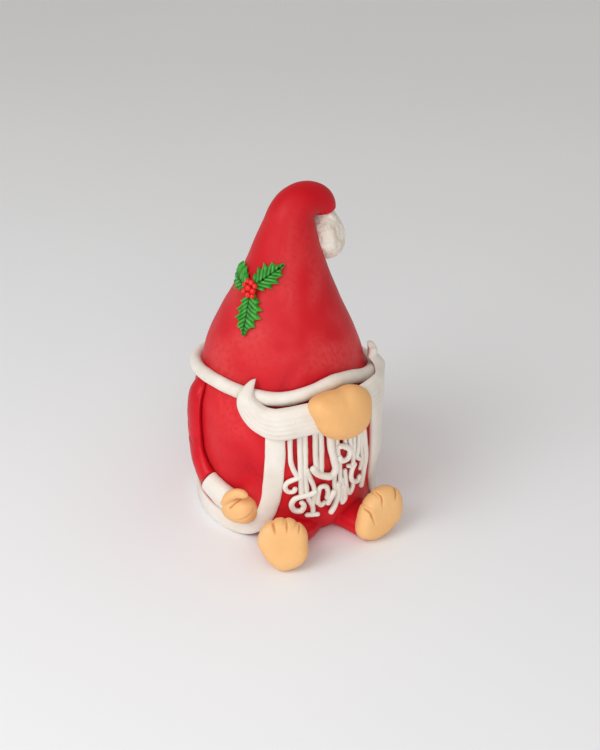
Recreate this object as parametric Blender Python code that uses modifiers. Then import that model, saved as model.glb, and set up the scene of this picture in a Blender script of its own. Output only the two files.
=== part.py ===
"""A festive cake: a seated, bearded gnome in a tall bent hat, all in rolled and modelled fondant.

Units are metres, +Z is up. The origin is on the ground under the middle of the body, and the figure
looks along -Y. An azimuth is in degrees about Z: 0 is the front, +90 the figure's left side (+X).
"""

import math

import bmesh
import bpy
import numpy as np
from mathutils import Matrix, Vector

# ---- Driving dimensions -------------------------------------------------------------------------

GAP = 0.0003  # what touching pieces keep between their faces
GIRTH = 0.0925  # the body's radius at the chest
DEGREE = math.radians(1) * GIRTH  # a degree of azimuth, as a length round the chest

BODY_TOP = 0.155
# (height, radius) of the covered cake, from the ground to the shoulder that carries the hat.
BODY_PROFILE = (
    (0.000, 0.0775),
    (0.005, 0.0825),
    (0.012, 0.0868),
    (0.022, 0.0890),
    (0.040, 0.0898),
    (0.060, 0.0914),
    (0.080, 0.0925),
    (0.100, 0.0929),
    (0.117, 0.0922),
    (0.132, 0.0896),
    (0.144, 0.0850),
    (BODY_TOP, 0.0797),
    (0.172, 0.0730),
)
BODY_STEPS = 40
# The hat stands on a plane that falls towards the figure's left and back: (height on the axis,
# slope along X, slope along Y).
SEAM = (0.1480, -0.125, -0.125)

HAT_SHIFT = (-0.0023, 0.0013)  # the hat sits a little towards the figure's right
HAT_BEND = 85.0  # azimuth that the tip bends towards
# The upright part of the hat: (height, offset of its middle towards the bend, radius).
HAT_LINE = (
    (0.1320, 0.0000, 0.0896),
    (0.1440, 0.0000, 0.0850),
    (BODY_TOP, 0.0000, 0.0802),
    (0.1650, 0.0000, 0.0775),
    (0.1800, -0.0003, 0.0730),
    (0.1950, -0.0003, 0.0668),
    (0.2100, 0.0000, 0.0598),
    (0.2250, 0.0012, 0.0525),
    (0.2400, 0.0023, 0.0454),
    (0.2550, 0.0032, 0.0393),
    (0.2700, 0.0042, 0.0336),
    (0.2850, 0.0054, 0.0281),
    (0.2985, 0.0072, 0.0235),
)
HAT_LEVEL = 0.1740  # from this height up the hat's rings are level
HAT_CREASE = (0.0318, 0.3000)  # offset and height of the crease that the tip folds round
HAT_REACH = (0.0474, 0.0235)  # from the crease to the outside of the fold, at its start and its end
HAT_HALF_DEPTH = (0.0235, 0.0118)  # half of the fold's depth, at its start and its end
HAT_SIDES = 26
HAT_RINGS = (3, 9, 7)  # down to the seam, of the upright part and of the fold

TRIM_RADIUS = 0.0840  # of the roll round the hat's foot, to its middle line, at the front
TRIM_SPREAD = (0.158, 0.22)  # under this height the roll lies further out by this share of the drop
TRIM_ROLL = (0.0062, 0.0069)  # half of the roll's depth and of its height
# (azimuth, height) of its middle: it rides over the nose and hangs lower behind.
TRIM_LINE = (
    (-180, 0.1365),
    (-150, 0.1440),
    (-120, 0.1525),
    (-100, 0.1586),
    (-78, 0.1618),
    (-57, 0.1597),
    (-30, 0.1580),
    (-12, 0.1630),
    (6, 0.1676),
    (20, 0.1635),
    (32, 0.1568),
    (45, 0.1505),
    (60, 0.1440),
    (85, 0.1390),
    (130, 0.1365),
    (180, 0.1365),
)

POMPOM = (0.0180, 0.0252)  # half width and half height
POMPOM_PLACE = (0.0450, 0.2800)  # distance from the hat's middle line, and height

NOSE_PLACE = (-0.5, 0.1050, 0.1465)  # azimuth, distance from the axis, height
NOSE_DEPTH = 0.0180  # half of it
NOSE_TILT = 9.0  # how far it looks up
# How far it reaches from its middle at every 30 degrees, from the figure's left up and over: it is
# pressed flat by the roll above it, and has a corner at its upper right end.
NOSE_REACHES = (0.0315, 0.0330, 0.0290, 0.0240, 0.0278, 0.0356, 0.0272, 0.0256, 0.0247, 0.0250, 0.0280, 0.0312)

# The moustache's halves: (azimuth, height, half width, thickness, lift over the beard's roots).
MOUSTACHE_LINES = {
    "right": (
        (-6.0, 0.1432, 0.0155, 0.0085, 0.0062),
        (-16.0, 0.1440, 0.0163, 0.0102, 0.0062),
        (-27.0, 0.1413, 0.0163, 0.0114, 0.0058),
        (-36.0, 0.1383, 0.0161, 0.0112, 0.0034),
        (-43.0, 0.1405, 0.0143, 0.0112, 0.0004),
        (-48.5, 0.1480, 0.0125, 0.0106, 0.0000),
        (-51.5, 0.1560, 0.0102, 0.0098, 0.0000),
        (-52.3, 0.1630, 0.0075, 0.0085, 0.0000),
        (-51.5, 0.1690, 0.0046, 0.0062, 0.0000),
        (-50.0, 0.1735, 0.0014, 0.0025, 0.0000),
    ),
    "left": (
        (6.0, 0.1432, 0.0155, 0.0085, 0.0062),
        (16.0, 0.1452, 0.0172, 0.0102, 0.0062),
        (27.0, 0.1445, 0.0178, 0.0108, 0.0058),
        (38.0, 0.1415, 0.0170, 0.0098, 0.0032),
        (47.0, 0.1420, 0.0150, 0.0086, 0.0004),
        (55.0, 0.1475, 0.0125, 0.0072, 0.0000),
        (60.0, 0.1550, 0.0112, 0.0082, 0.0008),
        (62.5, 0.1612, 0.0098, 0.0086, 0.0020),
        (63.5, 0.1662, 0.0072, 0.0070, 0.0018),
        (63.0, 0.1705, 0.0026, 0.0032, 0.0010),
    ),
}

# The beard's thin backing: (from azimuth, to azimuth, bottom, top, thickness).
BEARD_CORES = (
    (-29.5, 25.0, 0.1270, 0.1330, 0.0030),
    (1.0, 21.0, 0.0640, 0.1280, 0.0022),
    (-9.0, 7.0, 0.0460, 0.0680, 0.0020),
)
# Each strand of the beard: radius, lift over the chest, and the (azimuth, height) points that it
# passes, heights in millimetres.
BEARD_STRANDS = (
    (0.0023, 0.0000, ((-27, 130), (-27, 107), (-26.5, 94), (-24, 82), (-21, 74))),
    (0.0023, 0.0012, ((-20, 78), (-25, 76), (-29, 72), (-30, 66), (-28, 61.5), (-25, 62), (-24, 67))),
    (0.0026, 0.0000, ((-21.6, 130), (-21.5, 106), (-21, 80), (-20.5, 54))),
    (0.0025, 0.0000, ((-18.6, 130), (-18.4, 100), (-18, 70), (-16.5, 52), (-13.5, 40), (-13, 32))),
    (0.0024, 0.0006, ((-18, 88), (-15.5, 75), (-13.2, 64), (-12.8, 52), (-14, 40))),
    (0.0023, 0.0012, ((-18.5, 32), (-14, 31), (-9, 30))),
    (0.0026, 0.0030, ((-11.5, 61.5), (-15, 58), (-20, 56.5), (-24.5, 54), (-26.4, 47), (-24.5, 40), (-21, 39), (-19.3, 45), (-21.5, 51))),
    (0.0027, 0.0000, ((-12.6, 130), (-12.5, 100), (-11.5, 78))),
    (0.0027, 0.0000, ((-9.2, 130), (-9, 100), (-9, 76))),
    (0.0035, 0.0016, ((-4, 130), (-3.5, 105), (-1.5, 90), (-0.6, 80), (-3, 74.5), (-7, 76), (-11.5, 80.5), (-15, 90))),
    (0.0024, 0.0010, ((0, 130), (1, 102), (2.5, 84), (4, 61))),
    (0.0027, 0.0032, ((0, 107), (5, 104), (8.6, 96.5), (7, 88.5), (3, 89), (1, 96))),
    (0.0022, 0.0010, ((5.6, 130), (6.5, 98))),
    (0.0022, 0.0016, ((9.4, 130), (10.5, 97), (12.6, 86), (11.2, 76.5), (7.6, 79))),
    (0.0022, 0.0010, ((13, 130), (13.1, 96), (12.4, 82))),
    (0.0023, 0.0012, ((16.4, 130), (16.6, 92), (16, 83), (19.5, 77))),
    (0.0020, 0.0010, ((19.2, 130), (20, 88), (21, 75), (19.5, 64))),
    (0.0026, 0.0022, ((18.6, 130), (22, 94), (23.6, 76), (22.4, 62), (21.5, 42))),
    (0.0024, 0.0028, ((14, 79), (11.6, 74), (10.8, 65), (13, 57), (17, 54.5), (18.5, 61))),
    (0.0023, 0.0010, ((6.5, 76), (8, 60), (10, 48), (12.4, 42.5), (14.2, 47), (14, 58))),
    (0.0024, 0.0014, ((-10.5, 42), (-10.6, 55), (-9, 63), (-6.4, 63), (-4.6, 57), (-5, 46))),
    (0.0023, 0.0006, ((-10.5, 46), (-8, 40), (-5, 44))),
    (0.0029, 0.0030, ((-0.4, 57), (-2.5, 50), (-5.2, 40.5))),
    (0.0029, 0.0012, ((2, 64), (2.6, 46), (0.4, 35), (-2.6, 27))),
    (0.0023, 0.0004, ((0, 76), (0, 62), (1, 50))),
    (0.0024, 0.0014, ((3.6, 56), (6, 56), (7.8, 47), (8, 38), (5, 34.5))),
    (0.0023, 0.0002, ((5, 66), (6, 48), (5.6, 36))),
)

# The coat's band, from under the moustache down and round to the back:
# (azimuth, height, half width, thickness).
BAND_LINE = (
    (35.5, 0.1330, 0.0095, 0.0038),
    (35.5, 0.1150, 0.0095, 0.0038),
    (36.0, 0.0900, 0.0095, 0.0038),
    (37.0, 0.0700, 0.0095, 0.0038),
    (39.2, 0.0480, 0.0095, 0.0038),
    (42.6, 0.0310, 0.0095, 0.0038),
    (47.6, 0.0195, 0.0095, 0.0038),
    (55.0, 0.0125, 0.0095, 0.0038),
    (65.0, 0.0102, 0.0095, 0.0038),
    (90.0, 0.0099, 0.0095, 0.0038),
    (135.0, 0.0099, 0.0095, 0.0038),
    (180.0, 0.0099, 0.0095, 0.0038),
)
HEM_SEAT = 0.022  # under this height the band hangs straight down, over the cake's rounded edge
LEFT_BAND = (4.0, 0.0045, 0.0020)  # the figure's left edge is laid this much further out, wider and thicker

# The arm: (azimuth, height, half width, thickness), from the shoulder to the end of the sleeve.
ARM_LINE = (
    (98.5, 0.1500, 0.0080, 0.0050),
    (99.0, 0.1425, 0.0110, 0.0085),
    (97.5, 0.1250, 0.0122, 0.0096),
    (96.5, 0.1050, 0.0124, 0.0096),
    (96.0, 0.0900, 0.0124, 0.0098),
    (94.5, 0.0780, 0.0124, 0.0106),
    (90.5, 0.0670, 0.0125, 0.0118),
    (86.0, 0.0590, 0.0126, 0.0130),
    (81.5, 0.0535, 0.0128, 0.0138),
)
CUFF_LINE = (
    (81.2, 0.0532, 0.0136, 0.0152),
    (72.0, 0.0462, 0.0145, 0.0158),
    (63.5, 0.0405, 0.0150, 0.0158),
)
PALM = (59.5, 0.0332, 0.0196, 0.0168, 0.0165)  # azimuth, height, half length, half width, thickness
THUMB_LINE = (  # azimuth, height and radius
    (66.0, 0.0380, 0.0052),
    (63.2, 0.0475, 0.0051),
    (60.0, 0.0538, 0.0051),
    (56.3, 0.0577, 0.0048),
    (52.6, 0.0583, 0.0043),
    (50.2, 0.0572, 0.0027),
)
THUMB_LIFT = 0.0115
ARM_BACK = (40.0, 18.0)  # how much further back the left arm lies, at the hand and at the shoulder
SHOULDER_DROP = 0.0120  # how much lower its shoulder is

# The legs' middle lines: (azimuth, distance from the axis, half width, half height).
LEG_LINES = {
    "right": (
        (-17.0, 0.0620, 0.0250, 0.0130),
        (-25.0, 0.0830, 0.0215, 0.0135),
        (-30.5, 0.1030, 0.0165, 0.0138),
        (-31.5, 0.1210, 0.0152, 0.0142),
    ),
    "left": (
        (17.5, 0.0620, 0.0235, 0.0118),
        (19.0, 0.0845, 0.0205, 0.0118),
        (19.0, 0.1050, 0.0205, 0.0117),
        (19.5, 0.1190, 0.0205, 0.0116),
    ),
}
# Each foot: azimuth, distance from the axis and height of its middle, and the azimuth it faces.
FEET = {"right": (-31.0, 0.1290, 0.0258, -31.0), "left": (20.3, 0.1200, 0.0262, 2.0)}
FOOT_LEAN = 15.0
FOOT_DEPTH = 0.0105  # half of it
# How far each reaches from its middle at every 30 degrees, from the figure's left up and over.
FOOT_REACHES = {
    "right": (0.0235, 0.0260, 0.0268, 0.0262, 0.0255, 0.0250, 0.0235, 0.0208, 0.0225, 0.0258, 0.0262, 0.0263),
    "left": (0.0250, 0.0275, 0.0265, 0.0235, 0.0212, 0.0222, 0.0255, 0.0325, 0.0295, 0.0240, 0.0220, 0.0238),
}
# The grooves between the toes, from the rim inward, each as three (across, up) from the foot's middle.
TOE_GROOVES = {
    "right": (
        ((-0.0103, 0.0256), (-0.0082, 0.0193), (-0.0057, 0.0120)),
        ((0.0024, 0.0292), (0.0040, 0.0219), (0.0047, 0.0135)),
        ((0.0155, 0.0256), (0.0159, 0.0196), (0.0157, 0.0125)),
    ),
    "left": (
        ((-0.0072, 0.0298), (-0.0013, 0.0175), (-0.0026, 0.0060)),
        ((0.0190, 0.0215), (0.0150, 0.0135), (0.0122, 0.0090)),
        ((-0.0263, 0.0197), (-0.0164, 0.0057), (-0.0130, -0.0085)),
    ),
}
GROOVE = 0.0012

LEAF_THICKNESS = 0.0020
LEAVES = {  # azimuth and height of the stalk end, the way it points from straight up, length and half width
    "holly_leaf_1": (-80.0, 0.2460, -77.0, 0.0330, 0.0108),
    "holly_leaf_2": (-70.8, 0.2478, 41.0, 0.0330, 0.0108),
    "holly_leaf_3": (-71.0, 0.2420, 168.5, 0.0380, 0.0116),
}
LEAF_STATIONS = 13
BERRY_PLACE = (-72.5, 0.2475)
BERRY_CORE = 0.0048  # radius of the lump that the berries are stuck on
BERRY_SEAT = 0.0045  # how far over the hat the berries start, clear of the leaves
BERRIES = (  # across, along and radius
    (0.0000, 0.0000, 0.0032),
    (0.0048, -0.0014, 0.0029),
    (0.0016, -0.0054, 0.0030),
    (-0.0038, -0.0040, 0.0028),
    (-0.0052, 0.0010, 0.0026),
    (0.0014, 0.0050, 0.0029),
    (-0.0030, 0.0050, 0.0026),
    (0.0054, 0.0030, 0.0026),
    (0.0056, -0.0056, 0.0025),
)

COLOURS = {  # colour, roughness
    "red_fondant": ((0.60, 0.022, 0.030, 1.0), 0.55),
    "white_fondant": ((0.84, 0.79, 0.74, 1.0), 0.60),
    "skin_fondant": ((0.83, 0.52, 0.25, 1.0), 0.50),
    "leaf_fondant": ((0.045, 0.31, 0.055, 1.0), 0.45),
    "berry_fondant": ((0.72, 0.018, 0.016, 1.0), 0.40),
}


# ---- Curves and surfaces ------------------------------------------------------------------------


def hermite(knots, values, x):
    """The smooth curve through values at knots, read at x."""
    knots, values = np.array(knots, float), np.array(values, float)
    slopes = np.gradient(values, knots, axis=0)
    x = np.clip(np.asarray(x, float), knots[0], knots[-1])
    i = np.clip(np.searchsorted(knots, x, side="right") - 1, 0, len(knots) - 2)
    step = knots[i + 1] - knots[i]
    t = (x - knots[i]) / step
    if values.ndim > 1:
        step, t = step[:, None], t[:, None]
    return (
        (2 * t**3 - 3 * t**2 + 1) * values[i]
        + (t**3 - 2 * t**2 + t) * step * slopes[i]
        + (3 * t**2 - 2 * t**3) * values[i + 1]
        + (t**3 - t**2) * step * slopes[i + 1]
    )


def table(rows, x, column=1):
    """A column of a table, smoothed and read at x of its first column."""
    return hermite([row[0] for row in rows], [row[column] for row in rows], x)


def stations(rows, count, scale):
    """count rows at even steps along the smooth line through rows; scale turns each column to metres."""
    rows = np.array(rows, float)
    steps = np.linalg.norm(np.diff(rows * np.array(scale), axis=0), axis=1)
    knots = np.concatenate([[0.0], np.cumsum(steps)])
    return hermite(knots, rows, np.linspace(0, knots[-1], count))


def reach(reaches, degrees):
    """How far a rounded piece reaches in a direction, from its reaches at even steps all round."""
    steps = np.arange(-2, len(reaches) + 3)
    return hermite(steps * 360 / len(reaches), np.take(reaches, steps, mode="wrap"), np.asarray(degrees) % 360)


def rim_of(reaches, degrees):
    """Across and up at the rim of a rounded piece, in a direction from its middle."""
    size, angle = reach(reaches, degrees), np.radians(degrees)
    return size * np.cos(angle), size * np.sin(angle)


def polar(azimuth, radius, height):
    """A point at an azimuth in degrees, a distance from the axis and a height."""
    angle = np.radians(azimuth)
    return np.stack(np.broadcast_arrays(radius * np.sin(angle), -radius * np.cos(angle), height), -1)


def seam_height(x, y):
    return SEAM[0] + SEAM[1] * x + SEAM[2] * y


def body_radius(height):
    return table(BODY_PROFILE, height)


def on_body(_, height):
    return body_radius(height)


def on_coat(_, height):
    return body_radius(np.maximum(height, HEM_SEAT))


def shifted(azimuth, radius):
    """A distance from the hat's middle, as a distance from the body's axis."""
    angle = np.radians(azimuth)
    return radius + HAT_SHIFT[0] * np.sin(angle) - HAT_SHIFT[1] * np.cos(angle)


def trim_middle(azimuth):
    """Distance from the axis and height of the roll's middle line."""
    height = table(TRIM_LINE, azimuth)
    level, share = TRIM_SPREAD
    return shifted(azimuth, TRIM_RADIUS + share * np.clip(level - height, 0, None)), height


def on_figure(azimuth, height):
    """What the moustache lies on: the body, then over the roll, then the hat."""
    roll, middle = trim_middle(azimuth)
    roll = roll + TRIM_ROLL[0]
    hat = shifted(azimuth, table(HAT_LINE, height, 2))
    # It bridges the hollow under the roll and falls to the hat's side above it.
    above = np.clip((height - middle - 0.002) / 0.018, 0, 1)
    over = roll + (hat - roll) * above * above * (3 - 2 * above)
    return np.maximum(over, body_radius(np.minimum(height, BODY_TOP)))


# ---- Meshes -------------------------------------------------------------------------------------


def clear_scene():
    for obj in list(bpy.data.objects):
        bpy.data.objects.remove(obj)


def collection(name):
    made = bpy.data.collections.new(name)
    bpy.context.scene.collection.children.link(made)
    return made


def material(name):
    found = bpy.data.materials.get(name)
    if found:
        return found
    made = bpy.data.materials.new(name)
    made.use_nodes = True
    shader = made.node_tree.nodes["Principled BSDF"]
    colour, roughness = COLOURS[name]
    shader.inputs["Base Color"].default_value = colour
    shader.inputs["Roughness"].default_value = roughness
    shader.inputs["Metallic"].default_value = 0.0
    made.diffuse_color = colour
    return made


def object_of(name, mesh, fondant, where):
    mesh.shade_smooth()
    mesh.set_sharp_from_angle(angle=math.radians(50))
    made = bpy.data.objects.new(name, mesh)
    if fondant:
        mesh.materials.append(material(fondant))
    where.objects.link(made)
    return made


def mesh_from(bm, name):
    mesh = bpy.data.meshes.new(name)
    bm.to_mesh(mesh)
    bm.free()
    return mesh


def skin(name, rings, fondant, where, closed=False):
    """A solid with one ring of points after another, shut by flat caps unless the rings form a loop."""
    bm = bmesh.new()
    rows = [[bm.verts.new(point) for point in ring] for ring in rings]
    following = rows[1:] + (rows[:1] if closed else [])
    for low, high in zip(rows, following):
        for i, corner in enumerate(low):
            j = (i + 1) % len(low)
            bm.faces.new((corner, low[j], high[j], high[i]))
    if not closed:
        bm.faces.new(rows[0][::-1])
        bm.faces.new(rows[-1])
    bmesh.ops.recalc_face_normals(bm, faces=bm.faces)
    return object_of(name, mesh_from(bm, name), fondant, where)


def circle(sides):
    turn = np.arange(sides) * 2 * math.pi / sides
    return np.cos(turn), np.sin(turn)


def flat_bottomed(up, across):
    """A round section with its lower half squared off, as of something soft that lies down."""
    low = up < 0
    across = np.where(low, np.sign(across) * np.abs(across) ** 0.55, across)
    return np.where(low, -np.abs(up) ** 0.55, up), across


def tube(name, points, radii, sides, fondant, where, closed=False, up=None, flat=False):
    """A round tube through points. radii has an (along up, across) pair for each of them, and up is
    the way out of the axis unless it is given. Its underside can be squared off."""
    points = np.asarray(points, float)
    radii = np.broadcast_to(np.asarray(radii, float), (len(points), 2))
    if closed:
        ahead = np.roll(points, -1, axis=0) - np.roll(points, 1, axis=0)
    else:
        ahead = np.gradient(points, axis=0)
    ahead /= np.linalg.norm(ahead, axis=1)[:, None]
    up = points * (1.0, 1.0, 0.0) if up is None else np.broadcast_to(np.array(up, float), points.shape)
    up = up - (up * ahead).sum(1)[:, None] * ahead
    up /= np.linalg.norm(up, axis=1)[:, None]
    across = np.cross(ahead, up)
    cos, sin = circle(sides)
    if flat:
        cos, sin = flat_bottomed(cos, sin)
    rings = (
        points[:, None]
        + up[:, None] * (radii[:, :1] * cos)[..., None]
        + across[:, None] * (radii[:, 1:] * sin)[..., None]
    )
    return skin(name, rings, fondant, where, closed)


def dome_section(dome, flat, power):
    """The outline of a strip that lies flat: (across -1..1, up 0..1), the dome first, then the underside."""
    turn = np.linspace(0, math.pi, dome)
    across = np.sign(np.cos(turn)) * np.abs(np.cos(turn)) ** (2 / power)
    up = np.abs(np.sin(turn)) ** (2 / power)
    under = np.linspace(-1, 1, flat + 2)[1:-1]
    return np.concatenate([across, under]), np.concatenate([up, np.zeros(flat)])


def laid_strip(name, rows, section, seat, fondant, where):
    """A strip that lies on the figure. rows are (azimuth, height, half width, thickness, lift)."""
    rows = np.asarray(rows, float)
    along = np.gradient(rows[:, :2] * (DEGREE, 1), axis=0)
    along /= np.linalg.norm(along, axis=1)[:, None]
    across, up = section
    azimuth = rows[:, :1] - along[:, 1:] * across * rows[:, 2:3] / DEGREE
    height = rows[:, 1:2] + along[:, :1] * across * rows[:, 2:3]
    radius = seat(azimuth, height) + GAP + rows[:, 4:5] + up * rows[:, 3:4]
    return skin(name, polar(azimuth, radius, height), fondant, where)


def evaluated(obj, name):
    graph = bpy.context.evaluated_depsgraph_get()
    mesh = bpy.data.meshes.new_from_object(obj.evaluated_get(graph))
    mesh.name = name
    return mesh


def grown(obj, cutters, by=GAP):
    """A cutter: the object a gap larger all round."""
    mesh = evaluated(obj, obj.name + "_clearance")
    normals = [vertex.normal.copy() for vertex in mesh.vertices]
    for vertex, normal in zip(mesh.vertices, normals):
        vertex.co += normal * by
    return as_cutter(object_of(mesh.name, mesh, None, cutters))


def as_cutter(obj):
    obj.hide_render = True
    obj.display_type = "WIRE"
    return obj


def subtract(obj, *tools):
    for tool in tools:
        cut = obj.modifiers.new("less_" + tool.name, "BOOLEAN")
        cut.operation = "DIFFERENCE"
        cut.solver = "MANIFOLD"
        cut.object = tool
    bpy.context.view_layer.update()
    return obj


def fuse(name, pieces, fondant, where):
    """One solid from overlapping pieces, which are then removed."""
    heap = collection(name + "_pieces")
    first, rest = pieces[0], pieces[1:]
    for piece in rest:
        for owner in piece.users_collection:
            owner.objects.unlink(piece)
        heap.objects.link(piece)
    union = first.modifiers.new("fuse", "BOOLEAN")
    union.operation = "UNION"
    union.operand_type = "COLLECTION"
    union.collection = heap
    bpy.context.view_layer.update()
    mesh = outer_shell(evaluated(first, name))
    for piece in pieces:
        bpy.data.objects.remove(piece)
    bpy.data.collections.remove(heap)
    mesh.materials.clear()
    return object_of(name, mesh, fondant, where)


def settled(obj):
    """The object with its cuts made, less any loose scrap that they leave."""
    mesh = outer_shell(evaluated(obj, obj.name))
    obj.modifiers.clear()
    obj.data = mesh
    return obj


def outer_shell(mesh):
    """The mesh's widest connected piece: hollows that fusing sealed are filled, loose scraps dropped."""
    bm = bmesh.new()
    bm.from_mesh(mesh)
    shells, seen = [], set()
    for start in bm.faces:
        if start in seen:
            continue
        shell, edge = [], [start]
        seen.add(start)
        while edge:
            face = edge.pop()
            shell.append(face)
            sides = [side.link_faces for side in face.edges if len(side.link_faces) == 2]
            for other in (beside for pair in sides for beside in pair):
                if other not in seen:
                    seen.add(other)
                    edge.append(other)
        shells.append(shell)

    def width(shell):
        return np.prod(np.ptp([vertex.co for face in shell for vertex in face.verts], axis=0))

    widest = max(shells, key=width)
    scraps = [face for shell in shells if shell is not widest for face in shell]
    bmesh.ops.delete(bm, geom=scraps, context="FACES")
    bm.to_mesh(mesh)
    bm.free()
    return mesh


# ---- The figure's pieces ------------------------------------------------------------------------


def make_body(parts, cutters):
    """The covered cake, turned about the axis down to the ground and cut off under the hat."""
    top = BODY_PROFILE[-1][0]
    heights = np.concatenate([np.linspace(top, 0.016, 13), [0.009, 0.004, 0.0]])
    profile = [(0.0, top)] + [(float(body_radius(h)), float(h)) for h in heights] + [(0.0, 0.0)]
    bm = bmesh.new()
    points = [bm.verts.new((radius, 0, height)) for radius, height in profile]
    for low, high in zip(points, points[1:]):
        bm.edges.new((low, high))
    body = bpy.data.objects.new("body", mesh_from(bm, "body"))
    parts.objects.link(body)
    turn = body.modifiers.new("turn", "SCREW")
    turn.steps = turn.render_steps = BODY_STEPS
    turn.use_merge_vertices = True
    turn.merge_threshold = 0.0001
    turn.use_smooth_shade = True
    body.data.materials.append(material("red_fondant"))
    slope = Vector((-SEAM[1], -SEAM[2], 1)).to_track_quat("Z", "Y").to_matrix().to_4x4()
    above = Matrix.Translation((0, 0, SEAM[0])) @ slope @ Matrix.Translation((0, 0, 0.25))
    bm = bmesh.new()
    bmesh.ops.create_cube(bm, size=0.5, matrix=above)
    cut = as_cutter(object_of("seam_cut", mesh_from(bm, "seam_cut"), None, cutters))
    return subtract(body, cut)


def hat_rings(skirt, upright, fold, sides):
    """The hat's rings: from its slanting foot, level ones up to the crease, then a fan that folds
    over round the crease."""
    cos, sin = circle(sides)
    toward = polar(HAT_BEND, 1.0, 0.0)
    beside = np.array([-toward[1], toward[0], 0.0])
    origin = np.array([*HAT_SHIFT, 0.0])

    def ring(height):
        offset, radius = table(HAT_LINE, height), table(HAT_LINE, height, 2)
        shift = np.clip((height - 0.130) / 0.030, 0, 1)
        level = (
            np.outer(shift, origin)
            + np.outer(offset + radius * cos, toward)
            + np.outer(radius * sin, beside)
        )
        return level + np.outer(height, (0, 0, 1))

    foot = np.full(sides, SEAM[0])
    for _ in range(12):
        level = ring(foot)
        foot = seam_height(level[:, 0], level[:, 1]) + GAP
    shares = np.arange(skirt) / skirt
    rings = [ring(foot * (1 - share) + HAT_LEVEL * share) for share in shares]
    rings += [ring(np.full(sides, h)) for h in np.linspace(HAT_LEVEL, HAT_LINE[-1][0], upright)]
    # Near its end the fold draws in to a blunt tip.
    for share, size in [(i / fold, 1.0) for i in range(1, fold + 1)] + [(1.035, 0.82), (1.05, 0.45)]:
        turn = math.pi * (1 - share * 0.90)
        reach = HAT_REACH[0] + (HAT_REACH[1] - HAT_REACH[0]) * share**0.8
        depth = HAT_HALF_DEPTH[0] + (HAT_HALF_DEPTH[1] - HAT_HALF_DEPTH[0]) * share**0.8
        near = 0.0012 + 0.0006 * share
        middle, half = (reach + near) / 2, (reach - near) / 2 * size
        away = middle - half * cos
        rings.append(
            origin
            + np.outer(HAT_CREASE[0] + away * math.cos(turn), toward)
            + np.outer(depth * size * sin, beside)
            + np.outer(HAT_CREASE[1] + away * math.sin(turn), (0, 0, 1))
        )
    return rings


def make_hat(parts):
    """A cone whose tip folds over to the figure's left."""
    return skin("hat", hat_rings(*HAT_RINGS, HAT_SIDES), "red_fondant", parts)


def make_hat_trim(parts, *cutters):
    """A thick roll laid round the hat's foot."""
    azimuth = np.arange(-180, 180, 10.0)
    points = polar(azimuth, *trim_middle(azimuth))
    roll = tube("hat_trim", points, TRIM_ROLL, 8, "white_fondant", parts, closed=True)
    return subtract(roll, *cutters)


def make_pompom(parts, hat_cutter):
    """A soft ball, wider below, pressed against the hat under its tip."""
    width, height = POMPOM
    away, level = POMPOM_PLACE
    centre = polar(HAT_BEND, away, level) + np.array([*HAT_SHIFT, 0])
    cos, sin = circle(16)
    rings = []
    for turn in np.radians(np.linspace(168, 12, 10)):
        radius = width * math.sin(turn) * (1 - 0.34 * math.cos(turn))
        rise = np.full(16, height * math.cos(turn))
        rings.append(np.stack([radius * cos, radius * sin, rise], -1) + centre)
    return subtract(skin("pompom", rings, "white_fondant", parts), hat_cutter)


def make_nose(parts, *cutters):
    """A big bun with its upper side pressed flat."""
    azimuth, away, level = NOSE_PLACE
    turn = facing(azimuth, NOSE_TILT)
    across, up = rim_of(NOSE_REACHES, np.arange(24) * 15.0)
    rings = []
    for angle in np.radians(np.linspace(12, 168, 9)):
        share = math.sin(angle) ** 0.75
        out = np.full(24, -NOSE_DEPTH * math.cos(angle))
        rings.append(np.stack([across * share, out, up * share], -1) @ turn.T + polar(azimuth, away, level))
    return subtract(skin("nose", rings, "skin_fondant", parts), *cutters)


def make_moustache(side, parts, *cutters):
    """Half of the moustache: a thick horn from under the nose that curls up over the roll."""
    rows = stations(MOUSTACHE_LINES[side], 15, (DEGREE, 1, 0.3, 0, 0))
    section = dome_section(8, 4, 2.4)
    half = laid_strip("moustache_" + side, rows, section, on_figure, "white_fondant", parts)
    return subtract(half, *cutters)


def make_beard(parts, *cutters):
    """Strands of rolled fondant over the chest, looped over one another and fused to thin cores."""
    pieces = []
    for number, (low, high, bottom, top, thickness) in enumerate(BEARD_CORES):
        half = (high - low) * DEGREE / 2
        rows = [((low + high) / 2, h, half, thickness, 0.0) for h in np.linspace(top, bottom, 5)]
        across = np.linspace(1, -1, round((high - low) / 3.5) + 1)
        slab = (np.concatenate([across, across[::-1]]), np.repeat([1.0, 0.0], len(across)))
        pieces.append(laid_strip(f"core_{number}", rows, slab, on_body, None, parts))
    for number, (radius, lift, points) in enumerate(BEARD_STRANDS):
        route = np.array(points) * (1, 0.001)
        length = np.linalg.norm(np.diff(route * (DEGREE, 1), axis=0), axis=1).sum()
        line = stations(route, max(4, round(length / 0.0079)), (DEGREE, 1))
        # A strand lies flat where it runs in under the moustache.
        away = body_radius(line[:, 1]) + GAP + radius + lift * np.clip((0.128 - line[:, 1]) / 0.012, 0, 1)
        strand = polar(line[:, 0], away, line[:, 1])
        pieces.append(tube(f"strand_{number}", strand, (radius, radius), 5, None, parts))
    return settled(subtract(fuse("beard", pieces, "white_fondant", parts), *cutters))


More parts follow.
